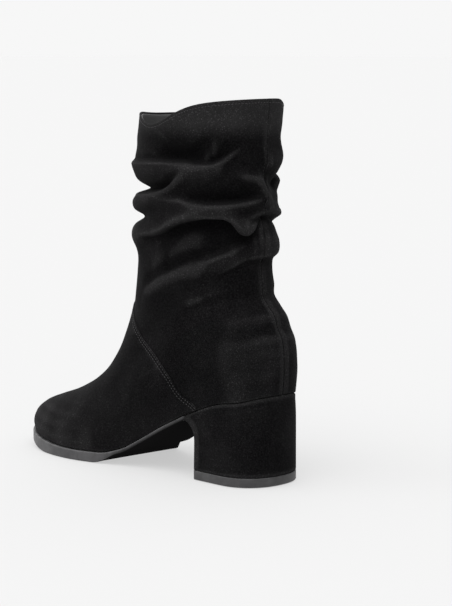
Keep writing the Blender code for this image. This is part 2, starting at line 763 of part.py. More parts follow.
def make_slider(material):
    """Slider body, with two lugs that carry the pull's pin."""
    width = ZIP_GAP - 2 * CLEARANCE
    crown = WALL + TAPE_GAP - TEETH_HEIGHT
    outline = [(side * width, up * SLIDER_LENGTH) for side, up in SLIDER_OUTLINE]
    body = add_object("zip_slider", prism(outline, CLEARANCE - crown, SLIDER_PROUD, "Y"), material)
    inner = EYE_WIDTH / 2 + CLEARANCE
    outer = inner + LUG_THICKNESS
    top = hinge_out() + PIN_RADIUS + EYE_WALL
    lug = box_outline(SLIDER_PROUD - EYE_WALL, top, -LUG_LENGTH / 2, LUG_LENGTH / 2)
    pin = [(hinge_out() + a, b) for a, b in disc(PIN_RADIUS, 10)]
    tools = [
        add_object("slider_lug_inner", prism(lug, -outer, -inner, "X"), material),
        add_object("slider_lug_outer", prism(lug, inner, outer, "X"), material),
        add_object("slider_pin", prism(pin, -inner - CLEARANCE, inner + CLEARANCE, "X"), material),
    ]
    for thing in (body, *tools):
        place_on_zip(thing, 0.0)
    for tool in tools:
        combine(body, tool, "UNION")


def make_pull(material):
    """Pull tab hanging from its eye; its origin is on the pin's axis."""
    hole = PIN_RADIUS + CLEARANCE
    rim = hole + EYE_WALL
    half, thick = PULL_WIDTH / 2, PULL_THICKNESS / 2
    neck = EYE_WIDTH / 2
    outline = [
        (-neck, -(hole + EYE_WALL * 0.3)),
        (-neck, -2.0 * rim),
        (-half, -2.6 * rim),
        (-half, -PULL_LENGTH + half * 0.6),
        (-half * 0.6, -PULL_LENGTH),
        (half * 0.6, -PULL_LENGTH),
        (half, -PULL_LENGTH + half * 0.6),
        (half, -2.6 * rim),
        (neck, -2.0 * rim),
        (neck, -(hole + EYE_WALL * 0.3)),
    ]
    pull = add_object("zip_pull", prism(outline, -thick, thick, "Y"), material)
    eye = add_object("pull_eye", prism(disc(rim, 14, 0.5), -neck, neck, "X"), material)
    bore = add_object("pull_bore", prism(disc(hole, 14, 0.5), -PULL_WIDTH, PULL_WIDTH, "X"), material)
    for thing in (pull, eye, bore):
        place_on_zip(thing, hinge_out())
    combine(pull, eye, "UNION")
    combine(pull, bore, "DIFFERENCE")


def make_material(name, colour, roughness, metallic=0.0):
    material = bpy.data.materials.new(name)
    material.use_nodes = True
    shader = material.node_tree.nodes["Principled BSDF"]
    shader.inputs["Base Color"].default_value = (*colour, 1.0)
    shader.inputs["Roughness"].default_value = roughness
    shader.inputs["Metallic"].default_value = metallic
    return material


def clear_scene():
    for thing in list(bpy.data.objects):
        bpy.data.objects.remove(thing, do_unlink=True)


def main():
    clear_scene()
    suede = make_material("suede", (0.012, 0.011, 0.012), 0.95)
    rubber = make_material("rubber", (0.075, 0.073, 0.076), 0.6)
    board = make_material("insole_cover", (0.10, 0.095, 0.09), 0.8)
    tape = make_material("zip_tape", (0.01, 0.01, 0.01), 0.8)
    metal = make_material("zip_metal", (0.55, 0.55, 0.56), 0.3, 1.0)
    make_upper(suede)
    make_outsole(rubber)
    make_heel(suede)
    make_top_piece(rubber)
    make_insole(board)
    make_tape(tape)
    make_slider(metal)
    make_pull(metal)


main()
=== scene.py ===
import math

import bmesh
import bpy
import numpy as np
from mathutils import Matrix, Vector
from mathutils.bvhtree import BVHTree


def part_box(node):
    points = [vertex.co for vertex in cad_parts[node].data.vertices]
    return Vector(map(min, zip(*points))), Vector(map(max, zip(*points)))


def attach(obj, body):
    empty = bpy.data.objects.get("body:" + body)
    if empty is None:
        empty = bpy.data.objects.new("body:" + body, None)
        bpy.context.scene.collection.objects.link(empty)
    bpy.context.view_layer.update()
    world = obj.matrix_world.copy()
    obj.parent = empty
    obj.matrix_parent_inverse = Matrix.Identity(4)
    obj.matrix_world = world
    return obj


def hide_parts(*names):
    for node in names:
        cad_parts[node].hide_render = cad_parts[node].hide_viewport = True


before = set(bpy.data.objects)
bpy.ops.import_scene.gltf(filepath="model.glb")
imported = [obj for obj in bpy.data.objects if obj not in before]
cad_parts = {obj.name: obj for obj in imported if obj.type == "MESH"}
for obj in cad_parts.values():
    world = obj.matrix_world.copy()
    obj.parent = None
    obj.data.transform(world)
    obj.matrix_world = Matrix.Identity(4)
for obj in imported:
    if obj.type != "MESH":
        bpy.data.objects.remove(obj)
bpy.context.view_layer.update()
print("boot: frame loaded")

# Camera, floor and light.
camera = {
    "place": (-0.9157, 0.9693, 0.2900),
    "forward": (0.6902, -0.7123, -0.1276),
    "lens": 120.7,
    "sensor": 36.0,
    "clip": (0.05, 60.0),
}
cameraData = bpy.data.cameras.new("camera")
cameraData.lens = camera["lens"]
cameraData.sensor_width = camera["sensor"]
cameraData.clip_start, cameraData.clip_end = camera["clip"]
cameraObject = bpy.data.objects.new("camera", cameraData)
cameraObject.location = camera["place"]
cameraObject.rotation_mode = "QUATERNION"
cameraObject.rotation_quaternion = Vector(camera["forward"]).to_track_quat("-Z", "Y")
bpy.context.collection.objects.link(cameraObject)
bpy.context.scene.camera = cameraObject
bpy.context.scene.view_settings.view_transform = "Standard"

studio = {
    "backdrop": (0.930, 0.930, 0.930),
    "zenith": 2.7,
    "horizon": 1.0,
    "levelUpTo": 0.07,
    "darkSide": (-0.718, -0.696, 0.0),
    "darkShare": 0.62,
    "darkFrom": 0.20,
    "darkTo": 0.85,
    "floor": 0.175,
    "floorGlow": 0.534,
    "floorSize": 60.0,
    "floorDrop": 0.0004,
}
# name, shines along, strength, width of the source in degrees
softSuns = [
    ("sunTop", (0.25, -0.40, -1.0), 1.2, 50),
    ("sunLeft", (-0.75, -0.75, -0.75), 0.5, 35),
]
world = bpy.data.worlds.new("studio")
world.use_nodes = True
worldNodes, worldLinks = world.node_tree.nodes, world.node_tree.links
sky = worldNodes["Background"]
skyPlace = worldNodes.new("ShaderNodeTexCoord")
skyHeight = worldNodes.new("ShaderNodeSeparateXYZ")
skyStrength = worldNodes.new("ShaderNodeMapRange")
skyStrength.interpolation_type = "SMOOTHSTEP"
skyStrength.inputs["From Min"].default_value = studio["levelUpTo"]
skyStrength.inputs["From Max"].default_value = 1.0
skyStrength.inputs["To Min"].default_value = studio["horizon"]
skyStrength.inputs["To Max"].default_value = studio["zenith"]
worldLinks.new(skyPlace.outputs["Generated"], skyHeight.inputs["Vector"])
worldLinks.new(skyHeight.outputs["Z"], skyStrength.inputs["Value"])
sideShare = worldNodes.new("ShaderNodeVectorMath")
sideShare.operation = "DOT_PRODUCT"
sideShare.inputs[1].default_value = studio["darkSide"]
sideDarker = worldNodes.new("ShaderNodeMapRange")
sideDarker.interpolation_type = "SMOOTHSTEP"
sideDarker.inputs["From Min"].default_value = studio["darkFrom"]
sideDarker.inputs["From Max"].default_value = studio["darkTo"]
sideDarker.inputs["To Min"].default_value = 1.0
sideDarker.inputs["To Max"].default_value = 1.0 - studio["darkShare"]
skyBoth = worldNodes.new("ShaderNodeMath")
skyBoth.operation = "MULTIPLY"
worldLinks.new(skyPlace.outputs["Generated"], sideShare.inputs[0])
worldLinks.new(sideShare.outputs["Value"], sideDarker.inputs["Value"])
worldLinks.new(skyStrength.outputs["Result"], skyBoth.inputs[0])
worldLinks.new(sideDarker.outputs["Result"], skyBoth.inputs[1])
worldLinks.new(skyBoth.outputs["Value"], sky.inputs["Strength"])
sky.inputs["Color"].default_value = (*studio["backdrop"], 1.0)
bpy.context.scene.world = world
for name, direction, strength, width in softSuns:
    lamp = bpy.data.lights.new(name, "SUN")
    lamp.energy, lamp.angle = strength, math.radians(width)
    lampObject = bpy.data.objects.new(name, lamp)
    lampObject.rotation_mode = "QUATERNION"
    lampObject.rotation_quaternion = Vector(direction).to_track_quat("-Z", "Y")
    bpy.context.collection.objects.link(lampObject)

floorMaterial = bpy.data.materials.new("floor")
floorMaterial.use_nodes = True
floorShader = floorMaterial.node_tree.nodes["Principled BSDF"]
floorShader.inputs["Base Color"].default_value = (studio["floor"],) * 3 + (1.0,)
floorShader.inputs["Emission Color"].default_value = (1.0, 1.0, 1.0, 1.0)
floorShader.inputs["Emission Strength"].default_value = studio["floorGlow"]
floorShader.inputs["Roughness"].default_value = 1.0
floorShader.inputs["Specular IOR Level"].default_value = 0.0
half = studio["floorSize"] / 2
floorMesh = bpy.data.meshes.new("floor")
floorMesh.from_pydata(
    [(x, y, -studio["floorDrop"]) for x, y in ((-half, -half), (half, -half), (half, half), (-half, half))],
    [], [(0, 1, 2, 3)],
)
floorMesh.materials.append(floorMaterial)
floor = bpy.data.objects.new("floor", floorMesh)
bpy.context.collection.objects.link(floor)
print("boot: camera and studio")

# Finishes. Every pattern reads Object coordinates, in metres, or an attribute of the piece.
# A step is where a pattern starts and where it is full, and a share how much it counts.
suede = {
    "dark": (0.0010, 0.0009, 0.0011),
    "light": (0.0186, 0.0182, 0.0186),
    "speck": (0.0640, 0.0630, 0.0640),
    "fibreScale": 950.0,
    "fibreStep": (0.34, 0.74),
    "fibreShare": 0.26,
    "speckScale": 1300.0,
    "speckStep": (0.58, 0.74),
    "speckHeight": 0.6,
    "patchScale": 38.0,
    "patchStep": (0.36, 0.72),
    "patchShare": 0.10,
    # crests are painted lighter, partly rubbed nap and partly painted light; hollows get painted shade
    "crestShare": 0.62,
    "paintedShadeShare": 0.40,
    "glint": 0.06,
    "patchGlint": 0.12,
    "crestGlint": 0.45,
    "bump": 0.55,
    "bumpReach": 0.00028,
}
rubber = {
    "dark": (0.022, 0.0215, 0.0225),
    "light": (0.042, 0.041, 0.0425),
    # the underside's colour: partly a darker tread, partly painted shade
    "undersideAndShade": (0.0085, 0.0083, 0.0085),
    "cloudScale": 120.0,
    "cloudStep": (0.32, 0.75),
    "scratchScale": 700.0,
    "scratchStretch": (1.0, 1.0, 0.25),
    "smoothest": 0.34,
    "rougher": 0.22,
    "specular": 0.42,
    "bump": 0.25,
    "bumpReach": 0.00012,
}
thread = {
    "twistScale": 2600.0,
    "paler": 1.8,
    "bump": 0.4,
    "bumpReach": 0.0001,
}
leather = {
    "cloudScale": 60.0,
    "bump": 0.3,
    "bumpReach": 0.0002,
}
weave = {
    "ribScale": 420.0,
    "ribSway": 0.4,
    "bump": 0.5,
    "bumpReach": 0.0002,
}
metal = {
    "cloudScale": 900.0,
    "tarnish": 0.7,
    "smoothest": 0.18,
    "rougher": 0.2,
}


def newFinish(name, sockets):
    material = bpy.data.materials.new(name)
    material.use_nodes = True
    shader = material.node_tree.nodes["Principled BSDF"]
    for socket, value in sockets.items():
        shader.inputs[socket].default_value = value
    return material, material.node_tree.nodes, material.node_tree.links, shader


def noise(nodes, links, coords, scale, detail, roughness=0.55, stretch=None):
    texture = nodes.new("ShaderNodeTexNoise")
    texture.inputs["Scale"].default_value = scale
    texture.inputs["Detail"].default_value = detail
    texture.inputs["Roughness"].default_value = roughness
    source = coords
    if stretch:
        mapping = nodes.new("ShaderNodeMapping")
        mapping.inputs["Scale"].default_value = stretch
        links.new(coords, mapping.inputs["Vector"])
        source = mapping.outputs["Vector"]
    links.new(source, texture.inputs["Vector"])
    return texture.outputs["Fac"]


def ramp(nodes, links, source, low, high):
    step = nodes.new("ShaderNodeMapRange")
    step.interpolation_type = "SMOOTHSTEP"
    step.inputs["From Min"].default_value = low
    step.inputs["From Max"].default_value = high
    links.new(source, step.inputs["Value"])
    return step.outputs["Result"]


def maths(nodes, links, operation, first, second):
    node = nodes.new("ShaderNodeMath")
    node.operation = operation
    for socket, value in zip(node.inputs, (first, second)):
        if isinstance(value, (int, float)):
            socket.default_value = value
        else:
            links.new(value, socket)
    return node.outputs["Value"]


def mixColours(nodes, links, share, first, second):
    node = nodes.new("ShaderNodeMix")
    node.data_type = "RGBA"
    links.new(share, node.inputs["Factor"])
    # the node's inputs 6 and 7 and its output 2 are the ones for colours
    for socket, value in ((node.inputs[6], first), (node.inputs[7], second)):
        if isinstance(value, tuple):
            socket.default_value = (*value, 1.0)
        else:
            links.new(value, socket)
    return node.outputs[2]


def addBump(nodes, links, shader, height, strength, reach):
    bump = nodes.new("ShaderNodeBump")
    bump.inputs["Strength"].default_value = strength
    bump.inputs["Distance"].default_value = reach
    links.new(height, bump.inputs["Height"])
    links.new(bump.outputs["Normal"], shader.inputs["Normal"])


def mark(nodes, name):
    attribute = nodes.new("ShaderNodeAttribute")
    attribute.attribute_name = name
    return attribute.outputs["Fac"]


def makeSuede(name, lift):
    # brushed nap: fibres, sparse pale specks, broad patches; crests lighter, partly rubbed nap and partly
    # painted light; hollows darker with painted shade
    material, nodes, links, shader = newFinish(name, {
        "Roughness": 0.92,
        "Specular IOR Level": 0.03,
        "Sheen Weight": 0.022,
        "Sheen Roughness": 0.45,
        "Sheen Tint": (0.62, 0.61, 0.63, 1.0),
    })

    def plus(first, second):
        return maths(nodes, links, "ADD", first, second)

    def times(first, second):
        return maths(nodes, links, "MULTIPLY", first, second)

    coords = nodes.new("ShaderNodeTexCoord").outputs["Object"]
    fibre = noise(nodes, links, coords, suede["fibreScale"], 3.0, 0.7)
    speck = noise(nodes, links, coords, suede["speckScale"], 1.0)
    patch = noise(nodes, links, coords, suede["patchScale"], 3.0, 0.6)
    fine = ramp(nodes, links, fibre, *suede["fibreStep"])
    specks = ramp(nodes, links, speck, *suede["speckStep"])
    broad = ramp(nodes, links, patch, *suede["patchStep"])
    # the first attribute lightens crests, partly rubbed nap and partly painted light; the second is painted
    # shade that darkens the hollows
    wornAndPaintedLight, paintedShade = mark(nodes, "wornAndPaintedLight"), mark(nodes, "paintedShade")
    kept = maths(nodes, links, "SUBTRACT", 1.0, times(paintedShade, suede["paintedShadeShare"]))
    share = plus(times(fine, suede["fibreShare"]), times(broad, suede["patchShare"] + lift))
    share = times(plus(share, times(wornAndPaintedLight, suede["crestShare"])), kept)
    glint = plus(times(broad, suede["patchGlint"]), suede["glint"])
    glint = times(plus(glint, times(wornAndPaintedLight, suede["crestGlint"])), kept)
    colour = mixColours(nodes, links, share, suede["dark"], suede["light"])
    colour = mixColours(nodes, links, times(specks, glint), colour, suede["speck"])
    links.new(colour, shader.inputs["Base Color"])
    height = plus(fibre, times(speck, suede["speckHeight"]))
    addBump(nodes, links, shader, height, suede["bump"], suede["bumpReach"])
    return material


def makeRubber(name, brighter):
    # one attribute marks the underside, painted dark: partly a darker tread, partly painted shade on faces
    # turned down
    material, nodes, links, shader = newFinish(name, {
        "Roughness": 0.48,
        "Specular IOR Level": rubber["specular"],
    })
    coords = nodes.new("ShaderNodeTexCoord").outputs["Object"]
    cloud = noise(nodes, links, coords, rubber["cloudScale"], 4.0, 0.6)
    scratch = noise(nodes, links, coords, rubber["scratchScale"], 3.0, 0.6, rubber["scratchStretch"])
    share = ramp(nodes, links, cloud, *rubber["cloudStep"])
    dark = tuple(c * brighter for c in rubber["dark"])
    light = tuple(c * brighter for c in rubber["light"])
    underAndShade = mark(nodes, "underAndShade")
    colour = mixColours(nodes, links, share, dark, light)
    # underside darkened: partly a darker tread, partly painted shade
    colour = mixColours(nodes, links, underAndShade, colour, rubber["undersideAndShade"])
    links.new(colour, shader.inputs["Base Color"])
    rough = maths(nodes, links, "MULTIPLY", scratch, rubber["rougher"])
    rough = maths(nodes, links, "ADD", rough, rubber["smoothest"])
    links.new(rough, shader.inputs["Roughness"])
    shine = maths(nodes, links, "SUBTRACT", 1.0, underAndShade)
    shine = maths(nodes, links, "MULTIPLY", shine, rubber["specular"])
    links.new(shine, shader.inputs["Specular IOR Level"])
    addBump(nodes, links, shader, scratch, rubber["bump"], rubber["bumpReach"])
    return material


def makeThread(name, colour):
    material, nodes, links, shader = newFinish(name, {"Roughness": 0.6, "Specular IOR Level": 0.2})
    coords = nodes.new("ShaderNodeTexCoord").outputs["Object"]
    twist = noise(nodes, links, coords, thread["twistScale"], 2.0)
    pale = tuple(c * thread["paler"] for c in colour)
    links.new(mixColours(nodes, links, twist, colour, pale), shader.inputs["Base Color"])
    addBump(nodes, links, shader, twist, thread["bump"], thread["bumpReach"])
    return material


def makeLeather(name, dark, light, grain, roughness):
    material, nodes, links, shader = newFinish(name, {"Roughness": roughness, "Specular IOR Level": 0.35})
    coords = nodes.new("ShaderNodeTexCoord").outputs["Object"]
    pores = nodes.new("ShaderNodeTexVoronoi")
    pores.inputs["Scale"].default_value = grain
    links.new(coords, pores.inputs["Vector"])
    cloud = noise(nodes, links, coords, leather["cloudScale"], 3.0)
    links.new(mixColours(nodes, links, cloud, dark, light), shader.inputs["Base Color"])
    addBump(nodes, links, shader, pores.outputs["Distance"], leather["bump"], leather["bumpReach"])
    return material


def makeWeave(name, dark, light):
    material, nodes, links, shader = newFinish(name, {"Roughness": 0.85, "Sheen Weight": 0.2})
    coords = nodes.new("ShaderNodeTexCoord").outputs["Object"]
    rib = nodes.new("ShaderNodeTexWave")
    rib.bands_direction = "Z"
    rib.inputs["Scale"].default_value = weave["ribScale"]
    rib.inputs["Distortion"].default_value = weave["ribSway"]
    links.new(coords, rib.inputs["Vector"])
    links.new(mixColours(nodes, links, rib.outputs["Fac"], dark, light), shader.inputs["Base Color"])
    addBump(nodes, links, shader, rib.outputs["Fac"], weave["bump"], weave["bumpReach"])
    return material


def makeMetal(name, colour):
    material, nodes, links, shader = newFinish(name, {"Metallic": 1.0, "Roughness": 0.26})
    coords = nodes.new("ShaderNodeTexCoord").outputs["Object"]
    cloud = noise(nodes, links, coords, metal["cloudScale"], 3.0)
    tarnish = tuple(c * metal["tarnish"] for c in colour)
    links.new(mixColours(nodes, links, cloud, tarnish, colour), shader.inputs["Base Color"])
    rough = maths(nodes, links, "MULTIPLY", cloud, metal["rougher"])
    rough = maths(nodes, links, "ADD", rough, metal["smoothest"])
    links.new(rough, shader.inputs["Roughness"])
    return material


suedeFinish = makeSuede("blackSuede", lift=0.0)
heelSuedeFinish = makeSuede("blackSuedeHeel", lift=0.04)
soleFinish = makeRubber("soleRubber", brighter=1.35)
topPieceFinish = makeRubber("topPieceRubber", brighter=1.0)
threadFinish = makeThread("thread", (0.026, 0.025, 0.026))
darkThreadFinish = makeThread("darkThread", (0.004, 0.004, 0.004))
liningFinish = makeLeather(
    "lining", (0.046, 0.046, 0.046), (0.086, 0.086, 0.087), grain=900.0, roughness=0.7,
)
insoleFinish = makeLeather(
    "insoleCover", (0.030, 0.029, 0.028), (0.046, 0.044, 0.043), grain=1100.0, roughness=0.62,
)
tapeFinish = makeWeave("zipTape", (0.006, 0.006, 0.007), (0.014, 0.014, 0.015))
teethFinish = makeLeather(
    "zipTeeth", (0.012, 0.012, 0.013), (0.020, 0.020, 0.021), grain=3000.0, roughness=0.35,
)
metalFinish = makeMetal("zipMetal", (0.62, 0.62, 0.63))
print("boot: finishes")

# The boot's form, from rings like those of its solids. Angle 0 is the back, 90 the outer side,
# 180 the front and -90 the inner side; climb is 0 at the sole and 1 at the collar.
upperLow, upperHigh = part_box("upper")
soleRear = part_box("outsole")[0].x
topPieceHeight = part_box("top_piece")[1].z
clearance = 0.0003
counterOut = 0.0003          # how much further back the counter stands than in the solid
lengthShare = 1.0063         # the last's length over that of the solid upper
form = {
    "counterBack": upperLow.x - counterOut,
    "footLength": (upperHigh.x - upperLow.x) * lengthShare,
    "ballWidth": 0.084,
    "seatWidth": 0.061,
    "instepHeight": 0.110,
    "inflare": 0.0045,
    "inflareStart": 0.35,
    "seatSquareness": 0.25,
    "seatEnd": 0.12,
    "waistAt": 0.42,
    "ballAt": 0.72,
    "frontEase": 0.35,
    "heelHeight": 0.0575,
    "soleThickness": 0.0068,
    "toeSpring": 0.0067,
    "shaftHeight": 0.1960,
    "collarLength": 0.109,
    "collarWidth": 0.083,
    "collarDrop": 0.0120,
    "seatLift": 0.0031,
    "seatLiftRun": 0.085,
    "collarWaveFrom": 0.8,
}
# place, rise, spring
feather = np.array([
    (0.00, 1.000, 0.00),
    (0.12, 0.940, 0.00),
    (0.24, 0.760, 0.00),
    (0.35, 0.520, 0.00),
    (0.45, 0.260, 0.00),
    (0.52, 0.090, 0.00),
    (0.59, 0.010, 0.00),
    (0.72, 0.000, 0.06),
    (0.84, 0.000, 0.34),
    (0.93, 0.000, 0.70),
    (1.00, 0.000, 1.00),
])
# climb, back, toe, rise, seat, waist, ball, follow, heelRound, toeRound
footRings = [
    (0.000, 0.006, 0.988, 0.000, 0.960, 0.650, 0.975, 1.00, 0.14, 0.27),
    (0.030, 0.003, 0.993, 0.048, 0.972, 0.680, 0.985, 1.00, 0.14, 0.27),
    (0.080, 0.000, 0.983, 0.103, 0.982, 0.725, 0.965, 0.97, 0.14, 0.27),
    (0.135, 0.001, 0.950, 0.157, 0.984, 0.770, 0.915, 0.92, 0.15, 0.28),
    (0.185, 0.007, 0.889, 0.207, 0.980, 0.800, 0.845, 0.84, 0.16, 0.29),
    (0.230, 0.024, 0.815, 0.260, 0.972, 0.812, 0.780, 0.74, 0.17, 0.30),
    (0.270, 0.036, 0.738, 0.336, 0.958, 0.810, 0.735, 0.62, 0.19, 0.32),
    (0.307, 0.059, 0.670, 0.436, 0.940, 0.800, 0.715, 0.48, 0.22, 0.35),
    (0.345, 0.079, 0.618, 0.560, 0.925, 0.787, 0.735, 0.33, 0.26, 0.39),
]
# climb, back, front, frontClimb, width, heelRound, toeRound
shaftRings = [
    (0.385, 0.180, 1.285, 0.160, 0.785, 0.34, 0.43),
    (0.430, 0.184, 1.213, 0.270, 0.795, 0.44, 0.47),
    (0.490, 0.182, 1.180, 0.385, 0.830, 0.50, 0.50),
    (0.560, 0.176, 1.160, 0.490, 0.875, 0.50, 0.50),
    (0.700, 0.160, 1.150, 0.650, 0.935, 0.50, 0.50),
    (0.850, 0.147, 1.144, 0.800, 0.975, 0.50, 0.50),
    (1.000, 0.124, 1.114, 0.940, 1.000, 0.50, 0.50),
]
# angle, span, lift
collarWaves = [(106, 26, -0.78), (-34, 11, -0.32), (-112, 28, -0.20), (150, 22, 0.10)]


def curve(places, values, at):
    # smooth through the points, without overshoot, level beyond its ends
    places, values = np.asarray(places, float), np.asarray(values, float)
    at = np.clip(np.asarray(at, float), places[0], places[-1])
    step = np.diff(places)
    rate = np.diff(values) / step
    slope = np.concatenate([rate[:1], np.zeros(len(rate) - 1), rate[-1:]])
    turning = rate[:-1] * rate[1:] <= 0
    safe = np.where(turning, 1.0, rate[:-1] + rate[1:])
    slope[1:-1] = np.where(turning, 0.0, 2 * rate[:-1] * rate[1:] / safe)
    index = np.clip(np.searchsorted(places, at, side="right") - 1, 0, len(step) - 1)
    share = (at - places[index]) / step[index]
    start, end = values[index], values[index + 1]
    bend = share * (1 - share) * step[index]
    blend = share * share * (3 - 2 * share)
    return start + (end - start) * blend + bend * (slope[index] * (1 - share) - slope[index + 1] * share)


def ease(value, start, end):
    share = np.clip((value - start) / (end - start), 0, 1)
    return share * share * (3 - 2 * share)


def unit(vectors):
    return vectors / np.maximum(np.linalg.norm(vectors, axis=-1, keepdims=True), 1e-12)


def turned(angle, place):
    return (np.asarray(angle, float) - place + 180) % 360 - 180


def featherHeight(x):
    place = (np.asarray(x, float) - form["counterBack"]) / form["footLength"]
    rise = curve(feather[:, 0], feather[:, 1], place)
    spring = curve(feather[:, 0], feather[:, 2], place)
    bottom = form["soleThickness"]
    return bottom + (form["heelHeight"] - bottom) * rise + form["toeSpring"] * spring


def seatLift(x):
    # the seam over the heel climbs a little more at the very back
    place = (np.asarray(x, float) - form["counterBack"]) / form["footLength"]
    return form["seatLift"] * (1 - ease(place, 0.0, form["seatLiftRun"]))


def allRings():
    back, length = form["counterBack"], form["footLength"]
    toeHeight = float(featherHeight(back + length))
    rings = []
    for climb, rear, toe, rise, seat, waist, ball, follow, heelRound, toeRound in footRings:
        rings.append((
            climb, back + rear * length, back + toe * length,
            form["heelHeight"] + climb * form["shaftHeight"], toeHeight + rise * form["instepHeight"],
            seat * form["seatWidth"] / 2, waist * form["ballWidth"] / 2, ball * form["ballWidth"] / 2,
            follow, heelRound, toeRound,
        ))
    for climb, rear, front, frontClimb, width, heelRound, toeRound in shaftRings:
        side = width * form["collarWidth"] / 2
        rings.append((
            climb, back + rear * form["collarLength"], back + front * form["collarLength"],
            form["heelHeight"] + climb * form["shaftHeight"],
            form["heelHeight"] + frontClimb * form["shaftHeight"],
            side, side, side, 0.0, heelRound, toeRound,
        ))
    return np.array(rings)


rings = allRings()


def bareForm(angle, climb):
    angle, climb = np.broadcast_arrays(np.asarray(angle, float), np.asarray(climb, float))
    values = [curve(rings[:, 0], rings[:, i], climb) for i in range(1, rings.shape[1])]
    back, front, backZ, frontZ, seat, waist, ball, follow, heelRound, toeRound = values
    turn = np.radians(angle)
    share = (1 - np.cos(turn)) / 2
    x = back + share * (front - back)
    side = seat + (waist - seat) * ease(share, form["seatEnd"], form["waistAt"])
    side = side + (ball - waist) * ease(share, form["waistAt"], form["ballAt"])
    heelEnd = np.clip(1 - share / heelRound, 0, 1)
    toeEnd = np.clip(1 - (1 - share) / toeRound, 0, 1)
    square = 2 + form["seatSquareness"] * follow
    side = side * (1 - heelEnd ** square) ** (1 / square) * (1 - toeEnd ** 2) ** 0.5
    place = (x - form["counterBack"]) / form["footLength"]
    forward = np.clip((place - form["inflareStart"]) / (1 - form["inflareStart"]), 0, 1)
    y = np.sign(np.sin(turn)) * side - form["inflare"] * forward * forward
    frontPart = share + form["frontEase"] * (ease(share, 0, 1) - share)
    ownBack = backZ - follow * featherHeight(back)
    ownFront = frontZ - follow * featherHeight(front)
    z = follow * (featherHeight(x) + seatLift(x)) + ownBack + (ownFront - ownBack) * frontPart
    for middle, span, lift in collarWaves:
        near = turned(angle, middle) / span
        fade = ease(climb, form["collarWaveFrom"], 1.0)
        z = z + lift * form["collarDrop"] * np.exp(-near * near) * fade
    return np.stack([x, y, z], axis=-1)


# The zip runs down the inner side; height and place along the foot are shares.
zipLine = np.array([(0.05, 0.318), (0.27, 0.308), (0.53, 0.285), (0.78, 0.247), (1.00, 0.205)])
zipSizes = {
    "gap": 0.0064,
    "end": 0.085,                # height of its lower end
    "opensOver": 0.02,           # climb over which the slit opens above it
    "sewnFrom": 0.012,           # climb above the zip's end, where its stitches and teeth start
    "calm": 18.0,                # angle beside the zip in which the folds fade
    "still": 0.85,
}


def shareHeight(z):
    return (z - form["heelHeight"]) / form["shaftHeight"]


def solveZip():
    # the zip's angle at each climb, and the climb of its lower end
    climbs = np.linspace(0, 1, 61)
    search = -np.arange(20, 160, 0.5)
    angles, heights = [], []
    for climb in climbs:
        x, _, z = np.moveaxis(bareForm(search, climb), -1, 0)
        place = curve(zipLine[:, 0], zipLine[:, 1], shareHeight(z))
        beyond = x - (form["counterBack"] + place * form["footLength"])
        angles.append(np.interp(0, beyond, search))
        heights.append(np.interp(0, beyond, shareHeight(z)))
    return climbs, angles, float(np.interp(zipSizes["end"], heights, climbs))


zipClimbs, zipAngles, zipEndClimb = solveZip()


def zipAngle(climb):
    return curve(zipClimbs, zipAngles, climb)


